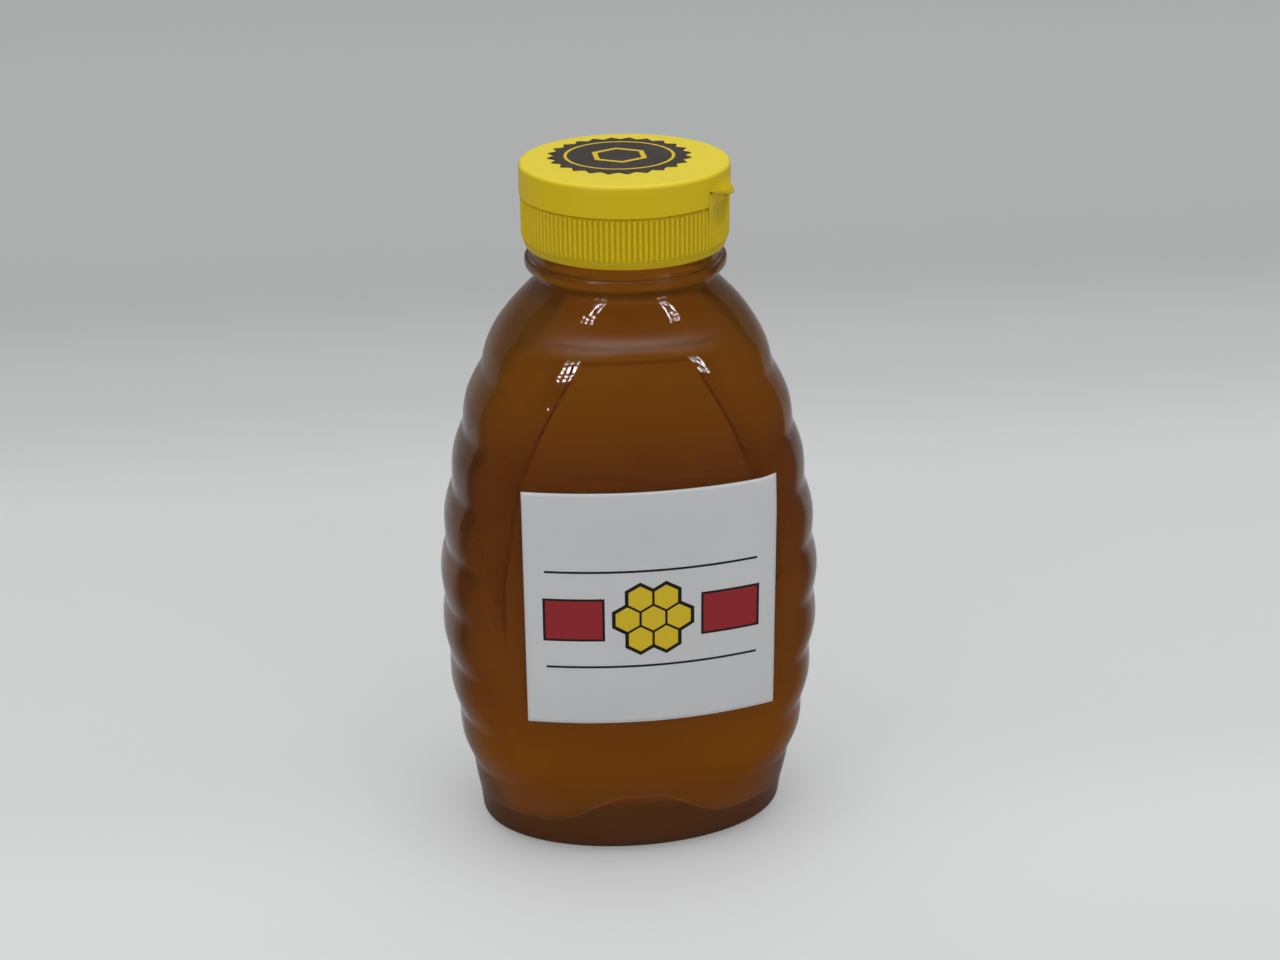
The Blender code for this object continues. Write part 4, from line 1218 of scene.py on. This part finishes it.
def label_paper_material():
    """White label film, printed with a cluster of seven cells between two bars and two fine rules.

    The print is worked out for one quarter, and mirrored to both sides, upwards and downwards.
    """
    material = new_material("white_label_paper", (0.62, 0.625, 0.632), roughness=0.45, IOR=1.46)
    emboss(material, scale=1500.0, strength=0.05, depth=0.00005)
    x, _, z = object_axes(material)
    x, z = distance(material, x, LABEL_SHIFT), distance(material, z, LABEL_MIDDLE_HEIGHT - PRINT_DROP)
    pitch = 2 * CELL_HALF_WIDTH
    cells = hexagon(material, x, z)
    for middle in ((pitch, 0.0), (pitch / 2, pitch * math.sqrt(3) / 2)):
        cells = calculate(material, "MINIMUM", cells, hexagon(material, x, z, *middle))
    bars = bar(material, x, z, (BAR_MIDDLE, 0.0), BAR_HALF_SIZE)
    rules = bar(material, x, z, (0.0, RULE_MIDDLE), RULE_HALF_SIZE)
    color = mottle(material, scale=35.0, dark=(0.61, 0.615, 0.622), light=(0.63, 0.635, 0.642))
    color = print_ink(material, color, INK_DARK, rules)
    color = print_ink(material, color, INK_DARK, bars, INK_LINE)
    color = print_ink(material, color, INK_RED, bars)
    color = print_ink(material, color, INK_DARK, cells, CELL_HALF_WIDTH + INK_LINE)
    color = print_ink(material, color, INK_YELLOW, cells, CELL_HALF_WIDTH - INK_LINE / 2)
    feed_shader(material, color, "Base Color")
    return material


def sticker_film_material():
    """Dark film printed with a fine ring round a hexagon."""
    material = new_material("brown_sticker_film", (0.050, 0.038, 0.031), roughness=0.5, IOR=1.46)
    x, y, _ = object_axes(material)
    x, y = (calculate(material, "SUBTRACT", place, middle) for place, middle in zip((x, y), STICKER_SHIFT))
    ring = distance(material, length(material, x, y), RING_RADIUS)
    cell = distance(material, hexagon(material, x, y), STICKER_CELL_HALF_WIDTH)
    color = mottle(material, scale=300.0, dark=(0.045, 0.034, 0.028), light=(0.056, 0.043, 0.035))
    color = print_ink(material, color, INK_YELLOW, ring, RING_HALF_LINE)
    color = print_ink(material, color, INK_YELLOW, cell, INK_LINE)
    feed_shader(material, color, "Base Color")
    return material


def liner_foam_material():
    """Closed-cell foam with a fine grain."""
    material = new_material("white_liner_foam", (0.84, 0.84, 0.82), roughness=0.85)
    emboss(material, scale=2500.0, strength=0.4, depth=0.0002)
    return material


# Stage, lamps and camera


def make_camera():
    """The camera: rolled about its line of sight, tilted down by the pitch and turned round Z."""
    data = bpy.data.cameras.new("camera")
    data.sensor_width = SENSOR_WIDTH
    data.lens = CAMERA_FOCAL_PIXELS / IMAGE_WIDTH * SENSOR_WIDTH
    data.clip_start = CAMERA_NEAR
    camera = place_in_scene("camera", data)
    place = Matrix.Translation((CAMERA_SIDE, -CAMERA_BACK, CAMERA_HEIGHT))
    turn = Matrix.Rotation(CAMERA_TURN, 4, "Z")
    tilt = Matrix.Rotation(math.pi / 2 - CAMERA_PITCH, 4, "X")
    roll = Matrix.Rotation(CAMERA_ROLL, 4, "Z")
    camera.matrix_world = turn @ place @ tilt @ roll
    bpy.context.scene.camera = camera


def make_floor():
    """A wide pale sweep: level under the bottle, then a quarter circle far behind it and a wall."""
    level = np.linspace(-FLOOR_REACH, FLOOR_FLAT_END, FLOOR_ROWS)
    turns = np.linspace(0, math.pi / 2, FLOOR_CURVE_ROWS)[1:]
    y = np.concatenate([level, FLOOR_FLAT_END + FLOOR_CURVE * np.sin(turns), [FLOOR_FLAT_END + FLOOR_CURVE]])
    z = np.concatenate([np.zeros(len(level)), FLOOR_CURVE * (1 - np.cos(turns)), [FLOOR_TOP]])
    x = np.linspace(-FLOOR_REACH, FLOOR_REACH, FLOOR_COLUMNS)
    grid = points_at(x, y[:, None], z[:, None])
    floor = mesh_piece("studio_floor", grid.reshape(-1, 3), grid_quads(numbered(grid)))
    floor.data.materials.append(floor_material())


def mirrored_ray(material):
    """1 for a ray that glossy faces mirror and that no clear one bends, otherwise 0."""
    rays = add_node(material, "ShaderNodeLightPath")
    glossy, bent = rays.outputs["Is Glossy Ray"], rays.outputs["Is Transmission Ray"]
    mirrored = calculate(material, "SUBTRACT", glossy, bent)
    mirrored.use_clamp = True
    return mirrored


def floor_material():
    """Pale grey paper with painted shade, darker further back, and a painted lighter band just in front of
    the bottle. Glossy faces see it dim except behind the bottle.

    The camera sees part of it by an even light of its own, which softens the shadow.
    """
    material = new_material("pale_paper", (0.66, 0.66, 0.66), roughness=0.9, Specular_IOR_Level=0.2)
    x, y, _ = object_axes(material)
    away = carry(material, y, FLOOR_PAINTED_SHADES_START, FLOOR_PAINTED_SHADES_END)
    # Painted shade: darker further back, with a painted lighter band just in front of the bottle
    shades = color_ramp(material, away, FLOOR_PAINTED_SHADES, "EASE")
    beside = calculate(material, "ABSOLUTE", x)
    wedge = calculate(material, "MULTIPLY_ADD", beside, WEDGE_SLOPE, WEDGE_START)
    behind = calculate(material, "ADD", wedge, y)
    dimming = carry(material, behind, WEDGE_FADE, -WEDGE_FADE, WEDGE_SHARE)
    dimming = calculate(material, "MULTIPLY", dimming, mirrored_ray(material))
    seen = add_node(material, "ShaderNodeLightPath").outputs["Is Camera Ray"]
    lift = calculate(material, "MULTIPLY", seen, FLOOR_LIFT)
    color = tint(material, lift, tint(material, dimming, shades, MIRRORED_FLOOR), (0, 0, 0))
    feed_shader(material, color, "Base Color")
    feed_shader(material, shades, "Emission Color")
    feed_shader(material, calculate(material, "MULTIPLY", lift, FLOOR_LIGHT), "Emission Strength")
    return material


def make_lamp(name, place):
    """A small soft rectangular lamp that faces the bottle, and that glossy faces don't see."""
    data = bpy.data.lights.new(name, "AREA")
    data.shape = "RECTANGLE"
    data.size, data.size_y = LAMP_SIZE
    data.energy = LAMP_POWER
    lamp = place_in_scene(name, data)
    lamp.location = place
    lamp.rotation_mode = "QUATERNION"
    lamp.rotation_quaternion = (Vector(LAMP_AIM) - Vector(place)).to_track_quat("-Z", "Y")
    lamp.visible_glossy = False


def make_window(name, direction, away):
    """A bright window, seen only by glossy faces: rows and columns of upright panes in one direction."""
    corners = np.array([(-0.5, -0.5), (0.5, -0.5), (0.5, 0.5), (-0.5, 0.5)]) * WINDOW_PANE
    across = np.array(WINDOW_COLUMNS)[:, None] + corners[:, 0]
    up = np.array(WINDOW_ROWS)[:, None, None] + corners[:, 1]
    x = away * math.cos(direction) - across * math.sin(direction)
    y = away * math.sin(direction) + across * math.cos(direction)
    points = points_at(x, y, up).reshape(-1, 3)
    window = mesh_piece(name, points, np.arange(len(points)).reshape(-1, 4))
    glow = new_material(name, (0, 0, 0), roughness=0.5,
                        Emission_Color=(1, 1, 1, 1), Emission_Strength=WINDOW_GLOW)
    window.data.materials.append(glow)
    window.visible_camera = False
    window.visible_diffuse = False
    window.visible_transmission = False
    window.visible_volume_scatter = False
    window.visible_shadow = False


def make_world():
    """Even pale light, stronger overhead by a power of the climb, which glossy faces see as a dim room."""
    world = bpy.data.worlds.new("soft_daylight")
    world.use_nodes = True
    background = world.node_tree.nodes["Background"]
    background.inputs["Color"].default_value = SKY_COLOR
    way = add_node(world, "ShaderNodeTexCoord")
    parts = add_node(world, "ShaderNodeSeparateXYZ")
    feed(world, way.outputs["Generated"], parts.inputs["Vector"])
    climb = calculate(world, "MAXIMUM", parts.outputs["Z"], 0.0)
    crown = calculate(world, "POWER", climb, SKY_CROWN_POWER)
    sky, mirrored_sky = (calculate(world, "MULTIPLY_ADD", crown, overhead, level)
                         for level, overhead in (SKY_LIGHT, MIRRORED_SKY))
    strength = carry(world, mirrored_ray(world), 0.0, 1.0, sky, mirrored_sky)
    feed(world, strength, background.inputs["Strength"])
    bpy.context.scene.world = world


bpy.context.scene.view_settings.view_transform = "Standard"
make_camera()
make_floor()
make_world()
for pane, height in enumerate(LAMP_HEIGHTS):
    make_lamp(f"left_pane_{pane}", (LEFT_LAMP[0] + LAMP_LEAN * pane, LEFT_LAMP[1], height))
    make_lamp(f"right_pane_{pane}", (RIGHT_LAMP[0] - LAMP_LEAN * pane, RIGHT_LAMP[1], height))
make_window("left_window", *LEFT_WINDOW)
make_window("right_window", *RIGHT_WINDOW)

clear_plastic = clear_plastic_material()
yellow_plastic = yellow_plastic_material()
make_bottle_shell(clear_plastic, wetted_plastic_material())
make_honey_fill(honey_material())
make_label_sheet(label_paper_material())
make_seal_liner(liner_foam_material())
make_closure_skirt(yellow_plastic)
make_thumb_tongue(yellow_plastic)
make_lid_cap(yellow_plastic)
make_hinge_strap(yellow_plastic)
make_sticker_disc(sticker_film_material())
